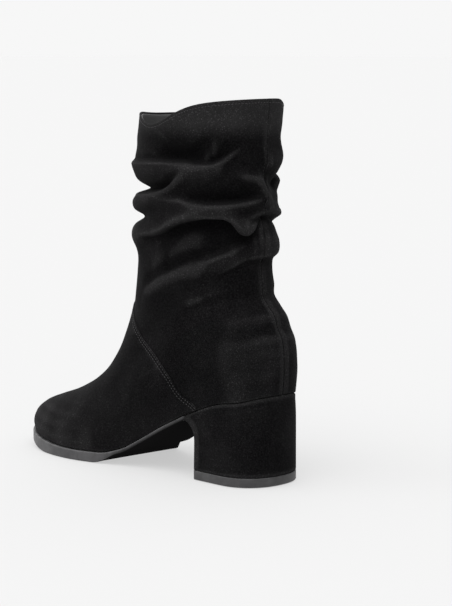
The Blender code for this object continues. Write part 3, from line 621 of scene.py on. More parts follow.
# Folds of the slack shaft. Each is a line along the leather through places given by angle and
# height over the floor in mm, and at each place how far the leather stands out just above and
# just below the line, in mm. Reaches and the line's own width are in mm as well.
foldLines = [
    # reach above, reach below, width, sag, then angle, height, above, below
    (7.5, 11.5, 2.3, -0.06, [    # shelf of the long crest under the collar
        (26, 223.0, 0.0, 0.0), (33, 219.4, -0.8, 0.4), (39.5, 215.9, -2.4, 1.7), (44.5, 213.4, -3.6, 2.9),
        (51, 211.6, -3.4, 3.5), (57, 211.0, -2.6, 3.9), (63.5, 211.0, -3.0, 3.9), (70, 211.8, -3.4, 3.9),
        (88, 212.6, -3.4, 3.7), (104, 212, -1.6, 3.4), (120, 210.8, 0.2, 3.4), (140, 210.4, 1.2, 3.9),
        (170, 210, 0.0, 3.8), (205, 210.5, -1.5, 4.0), (240, 212, -1.4, 3.0), (276, 214, 0.0, 0.0)]),
    (7.2, 6.0, 0.0, 0.0, [       # pit above it
        (49, 222, 0.0, 0.0), (55, 220.2, -1.8, -1.8), (61, 217.8, -4.2, -4.2), (69, 216.4, -5.4, -5.4),
        (80, 216.4, -5.4, -5.4), (88, 217.4, -4.4, -4.4), (96, 219.6, -2.4, -2.4), (106, 223, -0.8, -0.8),
        (116, 226, 0.0, 0.0)]),
    (9.0, 11.0, 5.0, 0.0, [      # edge of the flat part below the collar's dip
        (84, 219.5, 0.0, 0.0), (93, 225.6, 0.1, -0.9), (102, 230, 0.2, -1.5), (113, 234.5, 0.1, -1.0),
        (124, 239, 0.0, 0.0)]),
    (8.0, 8.0, 0.0, 0.0, [       # soft swelling over the long crest
        (20, 234, 0.0, 0.0), (36, 233, 1.3, 1.3), (62, 233, 1.3, 1.3), (84, 234, 0.0, 0.0)]),
    (5.2, 9.5, 2.4, 0.0, [       # shelf under the notch at the front
        (72, 206, 0.0, 0.0), (80, 200.8, -2.0, 1.8), (88, 196.2, -4.8, 2.8), (96, 193.0, -6.6, 3.2),
        (105, 191.4, -7.8, 3.2), (123, 190.2, -9.6, 2.0), (145, 190.0, -10.4, 0.2), (170, 189.6, -7.6, 0.6),
        (210, 189, -5.6, 1.2), (244, 190, -4.0, 1.2), (272, 192, 0.0, 0.0)]),
    (5.0, 7.0, 0.0, 0.0, [       # round ridge below it
        (100, 184, 0.0, 0.0), (116, 183.0, 1.2, 1.2), (140, 182.2, 3.2, 3.2), (172, 182, 3.6, 3.6),
        (214, 181, 2.4, 2.4), (250, 182, 1.4, 1.4), (272, 183, 0.0, 0.0)]),
    (8.0, 7.0, 2.4, 0.0, [       # shelf of the thick roll
        (0, 190, 0.0, 0.0), (7, 189.2, -1.8, 1.2), (14, 188.2, -3.4, 2.2), (24, 187.0, -4.6, 3.0),
        (33, 186.2, -5.0, 3.2), (44, 185.6, -5.0, 3.2), (54, 185.4, -4.6, 3.2), (66, 186.2, -3.8, 3.2),
        (78, 188.4, -2.0, 2.6), (90, 188.4, -0.8, 1.6), (104, 189, 0.0, 0.0)]),
    (8.0, 13.5, 2.2, 0.32, [     # lower rim of the roll
        (5, 174, 0.0, 0.0), (10, 170.4, 1.2, -1.2), (15, 166.2, 3.2, -3.0), (20, 164.2, 3.8, -3.8),
        (26, 165.4, 3.8, -4.0), (31, 169.0, 3.4, -4.2), (36, 173.0, 3.2, -4.6), (43, 175.0, 3.2, -5.2),
        (54, 175.0, 3.2, -5.4), (64, 174.0, 3.4, -5.4), (74, 172.2, 3.6, -5.0), (85, 168.8, 3.6, -4.4),
        (96, 164.0, 3.0, -3.2), (107, 161.6, 2.2, -2.0), (118, 160.6, 0.8, -0.8), (128, 160, 0.0, 0.0)]),
    (5.0, 5.0, 0.0, 0.0, [       # knuckle at the roll's back end
        (6, 174, 0.0, 0.0), (13, 173.6, 1.4, 1.4), (21, 172.6, 2.4, 2.4), (29, 174.0, 1.4, 1.4),
        (37, 176, 0.0, 0.0)]),
    (5.0, 5.0, 2.2, 0.10, [      # rim round the back, above the roll's end
        (20, 175, 0.0, 0.0), (12, 176.4, 0.8, -2.2), (3, 177.4, 1.6, -3.4), (-8, 177.8, 2.2, -4.6),
        (-20, 176.8, 2.6, -5.0), (-32, 174.6, 2.2, -3.8), (-44, 171.6, 1.0, -1.6), (-56, 169, 0.0, 0.0)]),
    (5.4, 5.0, 0.0, 0.0, [       # curved fold that closes the long hollow
        (40, 206.8, 0.0, 0.0), (30, 204.6, 0.7, 0.7), (22, 202.4, 1.9, 1.9), (14, 200.6, 2.9, 2.9),
        (8, 198.2, 3.5, 3.5), (3, 194.2, 3.5, 3.5), (-2, 188.6, 3.2, 3.2), (-8, 184.0, 2.8, 2.8),
        (-16, 182.0, 2.6, 2.6), (-26, 181, 1.8, 1.8), (-40, 181, 0.0, 0.0)]),
    (4.0, 3.4, 0.0, 0.0, [       # dent above it
        (46, 209, 0.0, 0.0), (36, 208.6, -1.0, -1.0), (27, 208, -2.0, -2.0), (19, 207.4, -1.6, -1.6),
        (8, 206, 0.0, 0.0)]),
    (11.0, 13.0, 3.4, 0.0, [     # slanting ridge over the ankle
        (122, 124, 0.0, 0.0), (108, 130, -2.2, 1.6), (98, 134.6, -3.0, 2.2), (86, 139.2, -3.6, 2.6),
        (70, 145.0, -3.8, 2.8), (54, 149.8, -3.4, 2.8), (38, 154.6, -2.2, 2.4), (24, 158.8, -1.0, 2.0),
        (10, 162.4, 0.0, 1.4), (-8, 165, 0.0, 0.0)]),
    (8.0, 8.0, 2.6, 0.12, [      # crease over the smooth ankle
        (50, 136, 0.0, 0.0), (42, 139, 0.5, -0.6), (33, 142.8, 1.0, -1.0), (22, 146.5, 1.4, -1.3),
        (6, 148.3, 1.5, -1.2), (-14, 149, 1.5, -0.8), (-36, 150, 1.4, -0.8), (-56, 149.8, 1.2, -0.8),
        (-74, 150.6, 0.6, -0.6), (-90, 152, 0.0, 0.0)]),
    (14.0, 18.0, 0.0, 0.0, [     # upright ridge beside the front
        (92, 150, 0.0, 0.0), (101, 152, 1.0, 1.0), (111, 148, 0.0, 0.0)]),
    (3.2, 3.6, 0.0, 0.0, [       # small notch at the front
        (110, 174.5, 0.0, 0.0), (122, 173.6, -2.4, -2.4), (136, 172.8, -5.4, -5.4), (170, 172, -5.0, -5.0),
        (210, 170, -3.8, -3.8), (250, 171, -2.6, -2.6), (272, 172, 0.0, 0.0)]),
    (7.6, 10.0, 0.0, 0.0, [      # swelling under it
        (106, 162, 0.0, 0.0), (120, 162, 2.2, 2.2), (140, 161.4, 4.6, 4.6), (172, 160, 4.4, 4.4),
        (214, 158, 3.2, 3.2), (250, 159, 2.0, 2.0), (270, 160, 0.0, 0.0)]),
    (9.0, 7.0, 2.4, 0.0, [       # upper shelf on the inner side
        (-88, 207, 0.0, 0.0), (-74, 205, -2.4, 2.2), (-58, 204, -2.8, 2.4), (-44, 201, -2.6, 2.2),
        (-30, 195, -1.2, 1.0), (-20, 191, 0.0, 0.0)]),
    (7.0, 7.0, 2.6, 0.0, [       # lower shelf there
        (-88, 190, 0.0, 0.0), (-70, 188, -2.0, 2.0), (-52, 186, -2.4, 2.4), (-36, 182, -1.8, 2.0),
        (-22, 180, 0.0, 0.0)]),
    (7.0, 5.0, 0.0, 0.0, [       # hollow under the collar there
        (-80, 221, 0.0, 0.0), (-66, 221, -2.0, -2.0), (-52, 221, -2.0, -2.0), (-40, 220, 0.0, 0.0)]),
    (7.0, 6.0, 0.0, 0.0, [       # bulge at the back under the collar
        (-44, 214, 0.0, 0.0), (-26, 213, 2.6, 2.6), (-8, 212, 2.2, 2.2), (6, 212, 0.0, 0.0)]),
    (6.0, 5.4, 0.0, 0.0, [       # waist below it
        (-42, 196, 0.0, 0.0), (-28, 197, -4.4, -4.4), (-14, 198, -4.2, -4.2), (-3, 202, -2.0, -2.0),
        (8, 206, 0.0, 0.0)]),
    (7.0, 12.0, 0.0, 0.0, [      # bulge at the back over the ankle
        (-58, 156, 0.0, 0.0), (-40, 158, 3.0, 3.0), (-22, 159, 4.0, 4.0), (-6, 161, 2.4, 2.4),
        (8, 164, 0.0, 0.0)]),
]
folds = {
    "power": 2.2,
    "slackFrom": (0.36, 0.50),   # height over the seat where the firm foot becomes the slack shaft
    "rippleEnd": (0.86, 0.97),   # climbs where the ripple fades under the collar
    "foldEnd": (0.92, 1.0),      # climbs where the folds do
    "leastWidth": 1e-6,
    "ripple": 0.00020,
    "waves": {"seed": 7, "wavelengths": (0.012, 0.030), "count": 14, "flatten": 2.2},
    "footRipple": 0.00010,
    "footWaves": {"seed": 11, "wavelengths": (0.018, 0.050), "count": 12, "flatten": 1.0},
}
# half steps over which directions on the surface are measured
probe = {"angle": 0.5, "climb": 0.004}
# how far a layer is set off along the surface's own slope, and the climbs where that starts and stops
layerTilt = {"most": 0.7, "start": (0.0, 0.03), "stop": (0.36, 0.44)}


def softWaves(points, seed, wavelengths, count, flatten):
    # even undulation made of a few seeded plane waves
    draw = np.random.default_rng(seed)
    total = np.zeros(points.shape[:-1])
    for _ in range(count):
        direction = draw.normal(size=3)
        direction[2] *= flatten
        direction /= np.linalg.norm(direction)
        length = draw.uniform(*wavelengths)
        total += np.sin(points @ direction * 2 * math.pi / length + draw.uniform(0, 2 * math.pi))
    return total / math.sqrt(count / 2)


def foldOut(angle, climb, base):
    # how far the folds stand out, and how far they sag, in metres
    z = base[..., 2] * 1000
    out, sag = np.zeros_like(z), np.zeros_like(z)
    for reachAbove, reachBelow, width, hang, places in foldLines:
        table = np.array(sorted(places))
        middle = (table[0, 0] + table[-1, 0]) / 2
        along = middle + turned(angle, middle)
        line, above, below = [curve(table[:, 0], table[:, i], along) for i in (1, 2, 3)]
        over = z - line
        overLine = above * np.exp(-np.abs(over / reachAbove) ** folds["power"])
        underLine = below * np.exp(-np.abs(over / reachBelow) ** folds["power"])
        half = width + folds["leastWidth"]
        own = underLine + (overLine - underLine) * ease(over, -half, half)
        out, sag = out + own, sag + hang * own
    out, sag = out / 1000, sag / 1000
    slack = ease(shareHeight(base[..., 2]), *folds["slackFrom"]) * (1 - ease(climb, *folds["rippleEnd"]))
    out = out + slack * folds["ripple"] * softWaves(base, **folds["waves"])
    out = out + (1 - slack) * folds["footRipple"] * softWaves(base, **folds["footWaves"])
    calm = np.exp(-(turned(angle, zipAngle(climb)) / zipSizes["calm"]) ** 2)
    calm = 1 - np.maximum(zipSizes["still"] * calm, ease(climb, *folds["foldEnd"]))
    return out * calm, sag * calm


def acrossAngle(shape, angle, climb):
    return shape(angle + probe["angle"], climb) - shape(angle - probe["angle"], climb)


def levelOutward(angle, climb):
    along = acrossAngle(bareForm, angle, climb)
    along[..., 2] = 0
    return unit(np.stack([-along[..., 1], along[..., 0], along[..., 2]], axis=-1))


def foldedForm(angle, climb):
    base = bareForm(angle, climb)
    out, sag = foldOut(angle, climb, base)
    point = base + levelOutward(angle, climb) * out[..., None]
    point[..., 2] -= sag
    return point


def outwardOf(angle, climb):
    along = acrossAngle(foldedForm, angle, climb)
    low, high = np.clip(climb - probe["climb"], 0, 1), np.clip(climb + probe["climb"], 0, 1)
    up = foldedForm(angle, high) - foldedForm(angle, low)
    normal = unit(np.cross(up, along))
    # level among the folds, so that no inner layer comes out at a sharp crease
    tilt = ease(climb, *layerTilt["start"]) * (1 - ease(climb, *layerTilt["stop"]))
    normal[..., 2] *= layerTilt["most"] * tilt
    return unit(normal)


def surface(angle, climb, depth):
    angle, climb = np.broadcast_arrays(np.asarray(angle, float), np.asarray(climb, float))
    depth = np.broadcast_to(np.asarray(depth, float), angle.shape)
    return foldedForm(angle, climb) - outwardOf(angle, climb) * depth[..., None]


def arcSpeed(angle, climb):
    # metres along the leather for each degree
    return np.linalg.norm(acrossAngle(bareForm, angle, climb), axis=-1) / (2 * probe["angle"])


def setMark(mesh, name, values):
    attribute = mesh.attributes.new(name, "FLOAT", "POINT")
    attribute.data.foreach_set("value", values.astype(np.float32))


def takeIn(name, mesh):
    piece = bpy.data.objects.new(name, mesh)
    bpy.context.collection.objects.link(piece)
    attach(piece, "boot")
    return piece


def makeObject(name, points, faces, material, standing=None):
    mergeWithin = 2e-6
    mesh = bpy.data.meshes.new(name)
    mesh.from_pydata(np.asarray(points).tolist(), [], faces)
    if standing is not None:
        setMark(mesh, "standing", standing)
    work = bmesh.new()
    work.from_mesh(mesh)
    bmesh.ops.remove_doubles(work, verts=work.verts, dist=mergeWithin)
    bmesh.ops.recalc_face_normals(work, faces=work.faces)
    work.to_mesh(mesh)
    work.free()
    mesh.shade_smooth()
    mesh.materials.append(material)
    return takeIn(name, mesh)


def gridFaces(rows, columns, start, flip):
    index = start + np.arange(rows * columns).reshape(rows, columns)
    quads = np.stack([index[:-1, :-1], index[:-1, 1:], index[1:, 1:], index[1:, :-1]], axis=-1).reshape(-1, 4)
    return (quads[:, ::-1] if flip else quads).tolist()


def spaced(count, length, radius):
    # even steps with a few close ones at both ends, where an edge is rounded
    near = np.array([0.0, 0.12, 0.35, 0.65, 1.0]) * radius / length
    return np.concatenate([near, np.linspace(near[-1], 1 - near[-1], count)[1:-1], 1 - near[::-1]])


def closer(steps, start, end, times):
    # the same steps, but this many times as close between start and end
    fadeIn, fadeOut = 0.06, 0.05
    grid = np.linspace(0, 1, 400)
    inside = ease(grid, start - fadeIn, start + fadeIn) * (1 - ease(grid, end - fadeOut, end + fadeOut))
    share = np.cumsum(1 + (times - 1) * inside)
    share = (share - share[0]) / (share[-1] - share[0])
    return np.interp(steps, share, grid)


def borderDistance(points):
    # distances of a grid's points from its left, right, lower and upper border
    across = np.linalg.norm(np.diff(points, axis=1), axis=-1)
    up = np.linalg.norm(np.diff(points, axis=0), axis=-1)
    left = np.concatenate([np.zeros((points.shape[0], 1)), np.cumsum(across, axis=1)], axis=1)
    low = np.concatenate([np.zeros((1, points.shape[1])), np.cumsum(up, axis=0)], axis=0)
    return left, left[:, -1:] - left, low, low[-1:] - low


def makePanel(name, angle, climb, proud, thickness, radius, material):
    # a closed skin with rounded edges on the boot's form; proud and thickness are in metres
    base, normal = foldedForm(angle, climb), outwardOf(angle, climb)
    near = np.minimum.reduce(borderDistance(base))
    inside = np.clip(1 - near / radius, 0, 1)
    share = 1 - np.sqrt(1 - inside ** 2)
    outer = base + normal * (proud - share * thickness / 2)[..., None]
    inner = base + normal * (proud - thickness + share * thickness / 2)[..., None]
    rows, columns = angle.shape
    points = np.concatenate([outer.reshape(-1, 3), inner.reshape(-1, 3)])
    faces = gridFaces(rows, columns, 0, False) + gridFaces(rows, columns, rows * columns, True)
    standing = foldOut(angle, climb, bareForm(angle, climb))[0].ravel()
    return makeObject(name, points, faces, material, np.concatenate([standing, standing]))


# crests and folds that stand out are painted lighter, partly rubbed nap and partly painted light; sunken
# folds get painted shade
wearLightShade = {
    "blur": 6,
    "crest": 0.6,
    "standing": 0.60,
    "standingStep": (0.0005, 0.0042),
    "paintedShadeStep": (0.0006, 0.0050),
}


def markWearLightAndShade(piece, crestStep, lighterByPlace=None):
    # crests are where a point stands over the average of its neighbours, painted lighter: partly rubbed nap,
    # partly painted light; the function given adds painted light by place
    mesh = piece.data
    count = len(mesh.vertices)
    place, normal = np.zeros(count * 3), np.zeros(count * 3)
    mesh.vertices.foreach_get("co", place)
    mesh.vertices.foreach_get("normal", normal)
    place, normal = place.reshape(-1, 3), normal.reshape(-1, 3)
    edges = np.zeros(len(mesh.edges) * 2, int)
    mesh.edges.foreach_get("vertices", edges)
    a, b = edges.reshape(-1, 2).T
    degree = np.bincount(a, minlength=count) + np.bincount(b, minlength=count)
    smooth = place.copy()
    for _ in range(wearLightShade["blur"]):
        total = np.zeros_like(smooth)
        for axis in range(3):
            total[:, axis] = np.bincount(a, smooth[b, axis], count) + np.bincount(b, smooth[a, axis], count)
        smooth = total / np.maximum(degree, 1)[:, None]
    stands = ((place - smooth) * normal).sum(axis=1)
    wornAndPaintedLight = wearLightShade["crest"] * ease(stands, *crestStep)
    if lighterByPlace:
        wornAndPaintedLight = wornAndPaintedLight + lighterByPlace(place)
    paintedShade = np.zeros(count)
    if "standing" in mesh.attributes:
        standing = np.zeros(count)
        mesh.attributes["standing"].data.foreach_get("value", standing)
        # folds that stand out get painted light, sunken ones painted shade
        wornAndPaintedLight = wornAndPaintedLight + wearLightShade["standing"] * ease(standing, *wearLightShade["standingStep"])
        paintedShade = ease(-standing, *wearLightShade["paintedShadeStep"])
    setMark(mesh, "wornAndPaintedLight", np.clip(wornAndPaintedLight, 0, 1))
    setMark(mesh, "paintedShade", np.clip(paintedShade, 0, 1))


# Upper: the vamp laps over the shaft, whose two panels meet at the back and at the zip.
upper = {
    "suede": 0.0012,
    "lap": 0.0008,
    "lapHidden": 0.0040,
    "lapFade": 0.0030,
    "lapGap": 0.00003,
    "wall": 0.0022,
    "edgeRadius": 0.0006,
    "backGap": 0.00012,
    "vampGrid": (78, 230),
    "vampSize": (0.08, 0.40),            # about how high and how long, to place the grid's steps
    "leastVamp": 0.002,                  # climb that the grid still spans at the vamp's ends
    "outerGrid": (248, 172),
    "innerGrid": (248, 56),
    "shaftSize": (0.20, 0.26),
    "closeSteps": (0.28, 0.90, 2.0),     # from, to, times as close, where the folds are
    "vampCrest": (0.00002, 0.00012),
    "shaftCrest": (0.00009, 0.00032),
    # painted light on the low part of the toe
    "toePaintedLight": 0.16,
    "toePaintedLightEnd": (0.030, 0.062),
    # painted light on the collar's upper band
    "collarPaintedLight": 0.95,
    "collarPaintedLightFrom": (0.225, 0.240),
}
# height, place, width of the swelling or groove beside an edge
swellings = {
    "lapStitches": (-0.00018, 0.0021, 0.0012),
    "collarStitches": (-0.00016, 0.0025, 0.0008),
    "backSeam": (-0.00035, 0.0, 0.0014),
    "besideSeam": (0.00022, 0.0034, 0.0018),
}
liningSizes = {
    "grid": (120, 170),
    "edgeStep": 0.0004,
    "edgeRadius": 0.0005,
    "gap": 0.00005,
    "low": 0.004,
    "span": 0.988,
}
# height over the seat as a share of the shaft, place along the foot
vampSeam = np.array([
    (-0.110, 0.200), (-0.044, 0.219), (0.000, 0.276), (0.062, 0.314), (0.119, 0.356),
    (0.162, 0.412), (0.209, 0.452), (0.255, 0.495), (0.300, 0.560), (0.345, 0.660),
])


def solveVampTop():
    # the climb of the vamp's upper edge at each angle, 0 where the shaft reaches the sole
    angles = np.arange(0, 361, 0.5)
    climbs = np.linspace(0, 0.6, 241)
    grid = bareForm(angles[:, None], climbs[None, :])
    place = curve(vampSeam[:, 0], vampSeam[:, 1], shareHeight(grid[..., 2]))
    beyond = grid[..., 0] - (form["counterBack"] + place * form["footLength"])
    tops = np.zeros(len(angles))
    for i, row in enumerate(beyond):
        behind = int(np.argmin(row > 0))
        if behind > 0:
            tops[i] = np.interp(0, [-row[behind - 1], -row[behind]], [climbs[behind - 1], climbs[behind]])
    return angles, tops


vampAngles, vampTops = solveVampTop()
print("boot: vamp top", round(float(vampTops.max()), 3), "zip ends at climb", round(zipEndClimb, 3))


def vampTop(angle):
    return np.interp(np.asarray(angle, float) % 360, vampAngles, vampTops)


inVamp = vampAngles[vampTops > 0]
vampStart, vampEnd = float(inVamp.min()), float(inVamp.max())


def swell(distance, height, place, width):
    return height * np.exp(-((distance - place) / width) ** 2)


def paintedLightOnToe(place):
    # painted light, strongest low on the toe
    return upper["toePaintedLight"] * (1 - ease(place[:, 2], *upper["toePaintedLightEnd"]))


def paintedLightOnCollar(place):
    # painted light on the collar's upper band
    return upper["collarPaintedLight"] * ease(place[:, 2], *upper["collarPaintedLightFrom"])


def makeVamp():
    rows, columns = upper["vampGrid"]
    high, long = upper["vampSize"]
    s = spaced(columns, long, upper["edgeRadius"])
    t = spaced(rows, high, upper["edgeRadius"])
    angle = np.broadcast_to(vampStart + s * (vampEnd - vampStart), (len(t), len(s)))
    climb = t[:, None] * np.maximum(vampTop(angle), upper["leastVamp"])
    top = borderDistance(bareForm(angle, climb))[3]
    thin = 1 - ease(top, upper["lapHidden"], upper["lapHidden"] + upper["lapFade"])
    thickness = upper["suede"] + upper["lap"] - thin * (upper["suede"] + upper["lapGap"])
    # the stitching pulls the lap down a little
    proud = upper["lap"] + swell(top, *swellings["lapStitches"])
    piece = makePanel("vamp", angle, climb, proud, thickness, upper["edgeRadius"], suedeFinish)
    markWearLightAndShade(piece, upper["vampCrest"], paintedLightOnToe)
    return piece


def shaftGrid(size, start, end):
    # start and end give the panel's two borders, as angles, at a climb
    rows, columns = size
    high, long = upper["shaftSize"]
    s = spaced(columns, long, upper["edgeRadius"])[None, :]
    t = closer(spaced(rows, high, upper["edgeRadius"]), *upper["closeSteps"])[:, None]
    climb = np.broadcast_to(t, (t.shape[0], s.shape[1])).copy()
    for _ in range(5):                   # the borders and the lower edge depend on each other
        low, high = start(climb), end(climb)
        angle = low + s * (high - low)
        hidden = upper["lapHidden"] / form["shaftHeight"]
        bottom = np.maximum(vampTop(angle) - hidden, 0.0)
        climb = bottom + t * (1 - bottom)
    return angle, climb


def zipHalf(climb):
    # half the slit as an angle; it closes at its foot
    opened = ease(climb, zipEndClimb, zipEndClimb + zipSizes["opensOver"])
    width = upper["backGap"] + (zipSizes["gap"] / 2 - upper["backGap"]) * opened
    return width / arcSpeed(zipAngle(climb), climb)


def zipEdge(climb, side):
    # the slit's border, as an angle: side is -1 on the outer panel and 1 on the inner one
    return 360 + zipAngle(climb) + side * zipHalf(climb)


def backEdge(climb):
    return upper["backGap"] / arcSpeed(np.zeros_like(climb), climb)


def seamPull(angle, climb):
    # the panels turn in towards the seam at the back
    away = np.abs(turned(angle, 0)) * arcSpeed(np.zeros_like(climb), climb)
    return swell(away, *swellings["backSeam"]) + swell(away, *swellings["besideSeam"])


def makeShaftPanels():
    grids = {
        "shaft_outer": shaftGrid(upper["outerGrid"], backEdge, lambda climb: zipEdge(climb, -1)),
        "shaft_inner": shaftGrid(
            upper["innerGrid"], lambda climb: zipEdge(climb, 1), lambda climb: 360 - backEdge(climb),
        ),
    }
    pieces = []
    for name, (angle, climb) in grids.items():
        thickness = np.full(angle.shape, upper["suede"])
        top = (1 - climb) * form["shaftHeight"]
        proud = seamPull(angle, climb) + swell(top, *swellings["collarStitches"])
        piece = makePanel(name, angle, climb, proud, thickness, upper["edgeRadius"], suedeFinish)
        markWearLightAndShade(piece, upper["shaftCrest"], paintedLightOnCollar)
        pieces.append(piece)
    return pieces


def makeLining():
    rows, columns = liningSizes["grid"]
    high, long = upper["shaftSize"]
    s = spaced(columns, long, liningSizes["edgeStep"])[None, :]
    t = spaced(rows, high, liningSizes["edgeStep"])[:, None]
    climb = np.broadcast_to(liningSizes["low"] + t * liningSizes["span"], (t.shape[0], s.shape[1]))
    low = zipAngle(climb) + zipHalf(climb)
    angle = low + s * (360 - 2 * zipHalf(climb))
    depth = upper["suede"] + liningSizes["gap"]
    return makePanel(
        "lining", angle, climb, np.full(climb.shape, -depth), np.full(climb.shape, upper["wall"] - depth),
        liningSizes["edgeRadius"], liningFinish,
    )


vamp = makeVamp()
shaftOuter, shaftInner = makeShaftPanels()
lining = makeLining()
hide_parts("upper")
print("boot: upper", [len(p.data.polygons) for p in (vamp, shaftOuter, shaftInner, lining)])

# Sole, heel, top piece and insole: rings round the outline, joined across above and below.
sole = {
    "waist": 0.0030,
    "toe": 0.0042,
    "toeCurve": 1.7,
    "margin": 0.0024,
    "marginRun": 0.0500,
    "treadRear": 0.1135,
    "treadSkew": 0.0045,
    "treadEase": 0.0125,
    "treadEaseSkew": 0.0085,
    "treadFront": 0.1640,
    "edge": 0.0007,
    "thinEdge": 0.3,
    "join": 0.00004,
    "stations": (36, 40, 70),            # along the waist, where the tread starts, and to the toe
    "closeFrom": 0.03,
    "closeTo": 0.008,
    "across": 22,
    # faces turned down get the underside's colour, partly painted shade
    "underFacing": (0.25, 0.60),
    # painted shade low on the thin side at the waist
    "waistShade": 0.85,
    "waistShadeEnd": (0.022, 0.004),
    "waistShadeRise": (0.10, 1.0),
}
heel = {
    "breast": 0.0268,
    "lip": 0.0095,
    "topPiece": topPieceHeight,
    "columns": 150,
    "across": 10,
    "corner": 0.0016,
    "cornerShare": 0.8,
    "bottomGap": 0.00012,
    "seatGap": 0.00035,
    "lowSteps": (0, 0.004, 0.010, 0.02),
    "evenSteps": (0.04, 0.975, 58),
    "topSteps": (0.985, 0.993, 1.0),
    "lowEdge": 0.0007,
    "lowEdgeEnd": 0.02,
    "topEdge": 0.0008,
    "topEdgeFrom": 0.975,
    "crest": (0.00002, 0.00015),
    "topPieceEdge": 0.0007,
    "topPieceUpperEdge": 0.6,
}
insoleSizes = {
    "columns": 180,
    "across": 14,
    "thickness": 0.0020,
    "edge": 0.0006,
    "pad": 0.0006,
}
# level, back, width, lip
heelLevels = np.array([
    (0.00, 0.975, 1.020, 0.00),
    (0.30, 0.978, 1.012, 0.00),
    (0.55, 0.985, 1.002, 0.02),
    (0.70, 0.990, 0.998, 0.12),
    (0.80, 0.994, 0.996, 0.34),
    (0.88, 0.997, 0.997, 0.68),
    (0.93, 0.999, 0.998, 1.00),
    (1.00, 1.000, 1.000, 1.00),
])


def asIs(point, inward):
    return point


def quarterTurn(steps):
    return np.linspace(0, math.pi / 2, steps)


def makeLofted(name, layers, lowCap, highCap, across, material):
    # rings from one side's first point round to the other side's last, with ladders across both ends;
    # a cap sets a point of its ladder, from where it is and how far it lies inward
    count = layers[0].shape[0]
    points = [point for ring in layers for point in ring]
    faces = []
    for level in range(len(layers) - 1):
        a, b = level * count, (level + 1) * count
        for i in range(count):
            j = (i + 1) % count
            faces.append((a + i, a + j, b + j, b + i))
    for ring, cap in ((layers[0], lowCap), (layers[-1], highCap)):
        start = len(points)
        pairs = count // 2
        for i in range(pairs):
            one, other = ring[i], ring[count - 1 - i]
            for k in range(across + 1):
                point = one + (other - one) * k / across
                points.append(cap(point, min(k, across - k) / across) if 0 < k < across else point)
        for i in range(pairs - 1):
            for k in range(across):
                a = start + i * (across + 1) + k
                faces.append((a, a + 1, a + across + 2, a + across + 1))
    return makeObject(name, points, faces, material)


def soleUnderside(x, y):
    toe = form["counterBack"] + form["footLength"]
    toePart = np.clip((x - sole["treadFront"]) / (toe - sole["treadFront"]), 0, None)
    tread = (float(featherHeight(toe)) - sole["toe"]) * toePart ** sole["toeCurve"]
    waist = featherHeight(x) - sole["waist"]
    side = y / (form["ballWidth"] / 2)
    rear = sole["treadRear"] + sole["treadSkew"] * side
    length = sole["treadEase"] + sole["treadEaseSkew"] * side
    return waist + (tread - waist) * ease(x, rear - length, rear)


def makeOutsole():
    seat, toe = rings[0, 1], rings[0, 2]
    closeFrom, closeTo = sole["treadRear"] - sole["closeFrom"], sole["treadRear"] + sole["closeTo"]
    waistCount, closeCount, toeCount = sole["stations"]
    stations = np.concatenate([
        np.linspace(soleRear, closeFrom, waistCount)[:-1],
        np.linspace(closeFrom, closeTo, closeCount)[:-1],
        closeTo + (toe - closeTo) * np.sin(quarterTurn(toeCount)),
    ])
    angles = np.degrees(np.arccos(1 - 2 * np.clip((stations - seat) / (toe - seat), 0, 1)))
    sides = np.concatenate([angles, -angles[::-1]])
    edge, out = bareForm(sides, 0), levelOutward(sides, 0)
    proud = ease(edge[:, 0], soleRear, soleRear + sole["marginRun"])
    top = featherHeight(edge[:, 0]) - sole["join"]
    low = soleUnderside(edge[:, 0], edge[:, 1])
    layers = []
    turns = quarterTurn(6)
    profile = [(1 - math.sin(t), 0.0, 1 - math.cos(t)) for t in turns]      # inset, level, rise
    profile += [(0.0, 0.5, 0.0)]
    profile += [(1 - math.cos(t), 1.0, -(1 - math.sin(t))) for t in turns]
    for inset, level, rise in profile:
        ring = edge + out * (sole["margin"] * proud - inset * sole["edge"])[:, None]
        radius = np.minimum(sole["edge"], (top - low) * sole["thinEdge"])
        ring[:, 2] = low + level * (top - low) + rise * radius
        layers.append(ring)

    def underneath(point, inward):
        return np.array([point[0], point[1], max(float(soleUnderside(point[0], point[1])), 0.0)])

    return makeLofted("sole", layers, underneath, asIs, sole["across"], soleFinish)


def heelRing(back, width, front, inset):
    seatBack, toe = rings[0, 1], rings[0, 2]
    seatFront = heel["breast"] + heel["lip"]
    end = math.degrees(math.acos(1 - 2 * (seatFront - seatBack) / (toe - seatBack)))
    ring = bareForm(np.linspace(end, -end, heel["columns"]), 0)
    share = (ring[:, 0] - seatBack) / (seatFront - seatBack)
    ring[:, 0] = seatBack * back + share * (front - seatBack * back)
    ring[:, 1] *= width
    # the corners beside the breast are slightly rounded
    corner = heel["corner"]
    toBreast = np.clip(1 - (front - ring[:, 0]) / corner, 0, 1)
    rounded = corner * (1 - np.sqrt(1 - toBreast ** 2)) * heel["cornerShare"]
    ring[:, 1] -= np.sign(ring[:, 1]) * rounded
    middle = (ring[:, 0].max() + ring[:, 0].min()) / 2
    ring[:, 0] = middle + (ring[:, 0] - middle) * (1 - 2 * inset / np.ptp(ring[:, 0]))
    ring[:, 1] *= 1 - 2 * inset / np.ptp(ring[:, 1])
    return ring


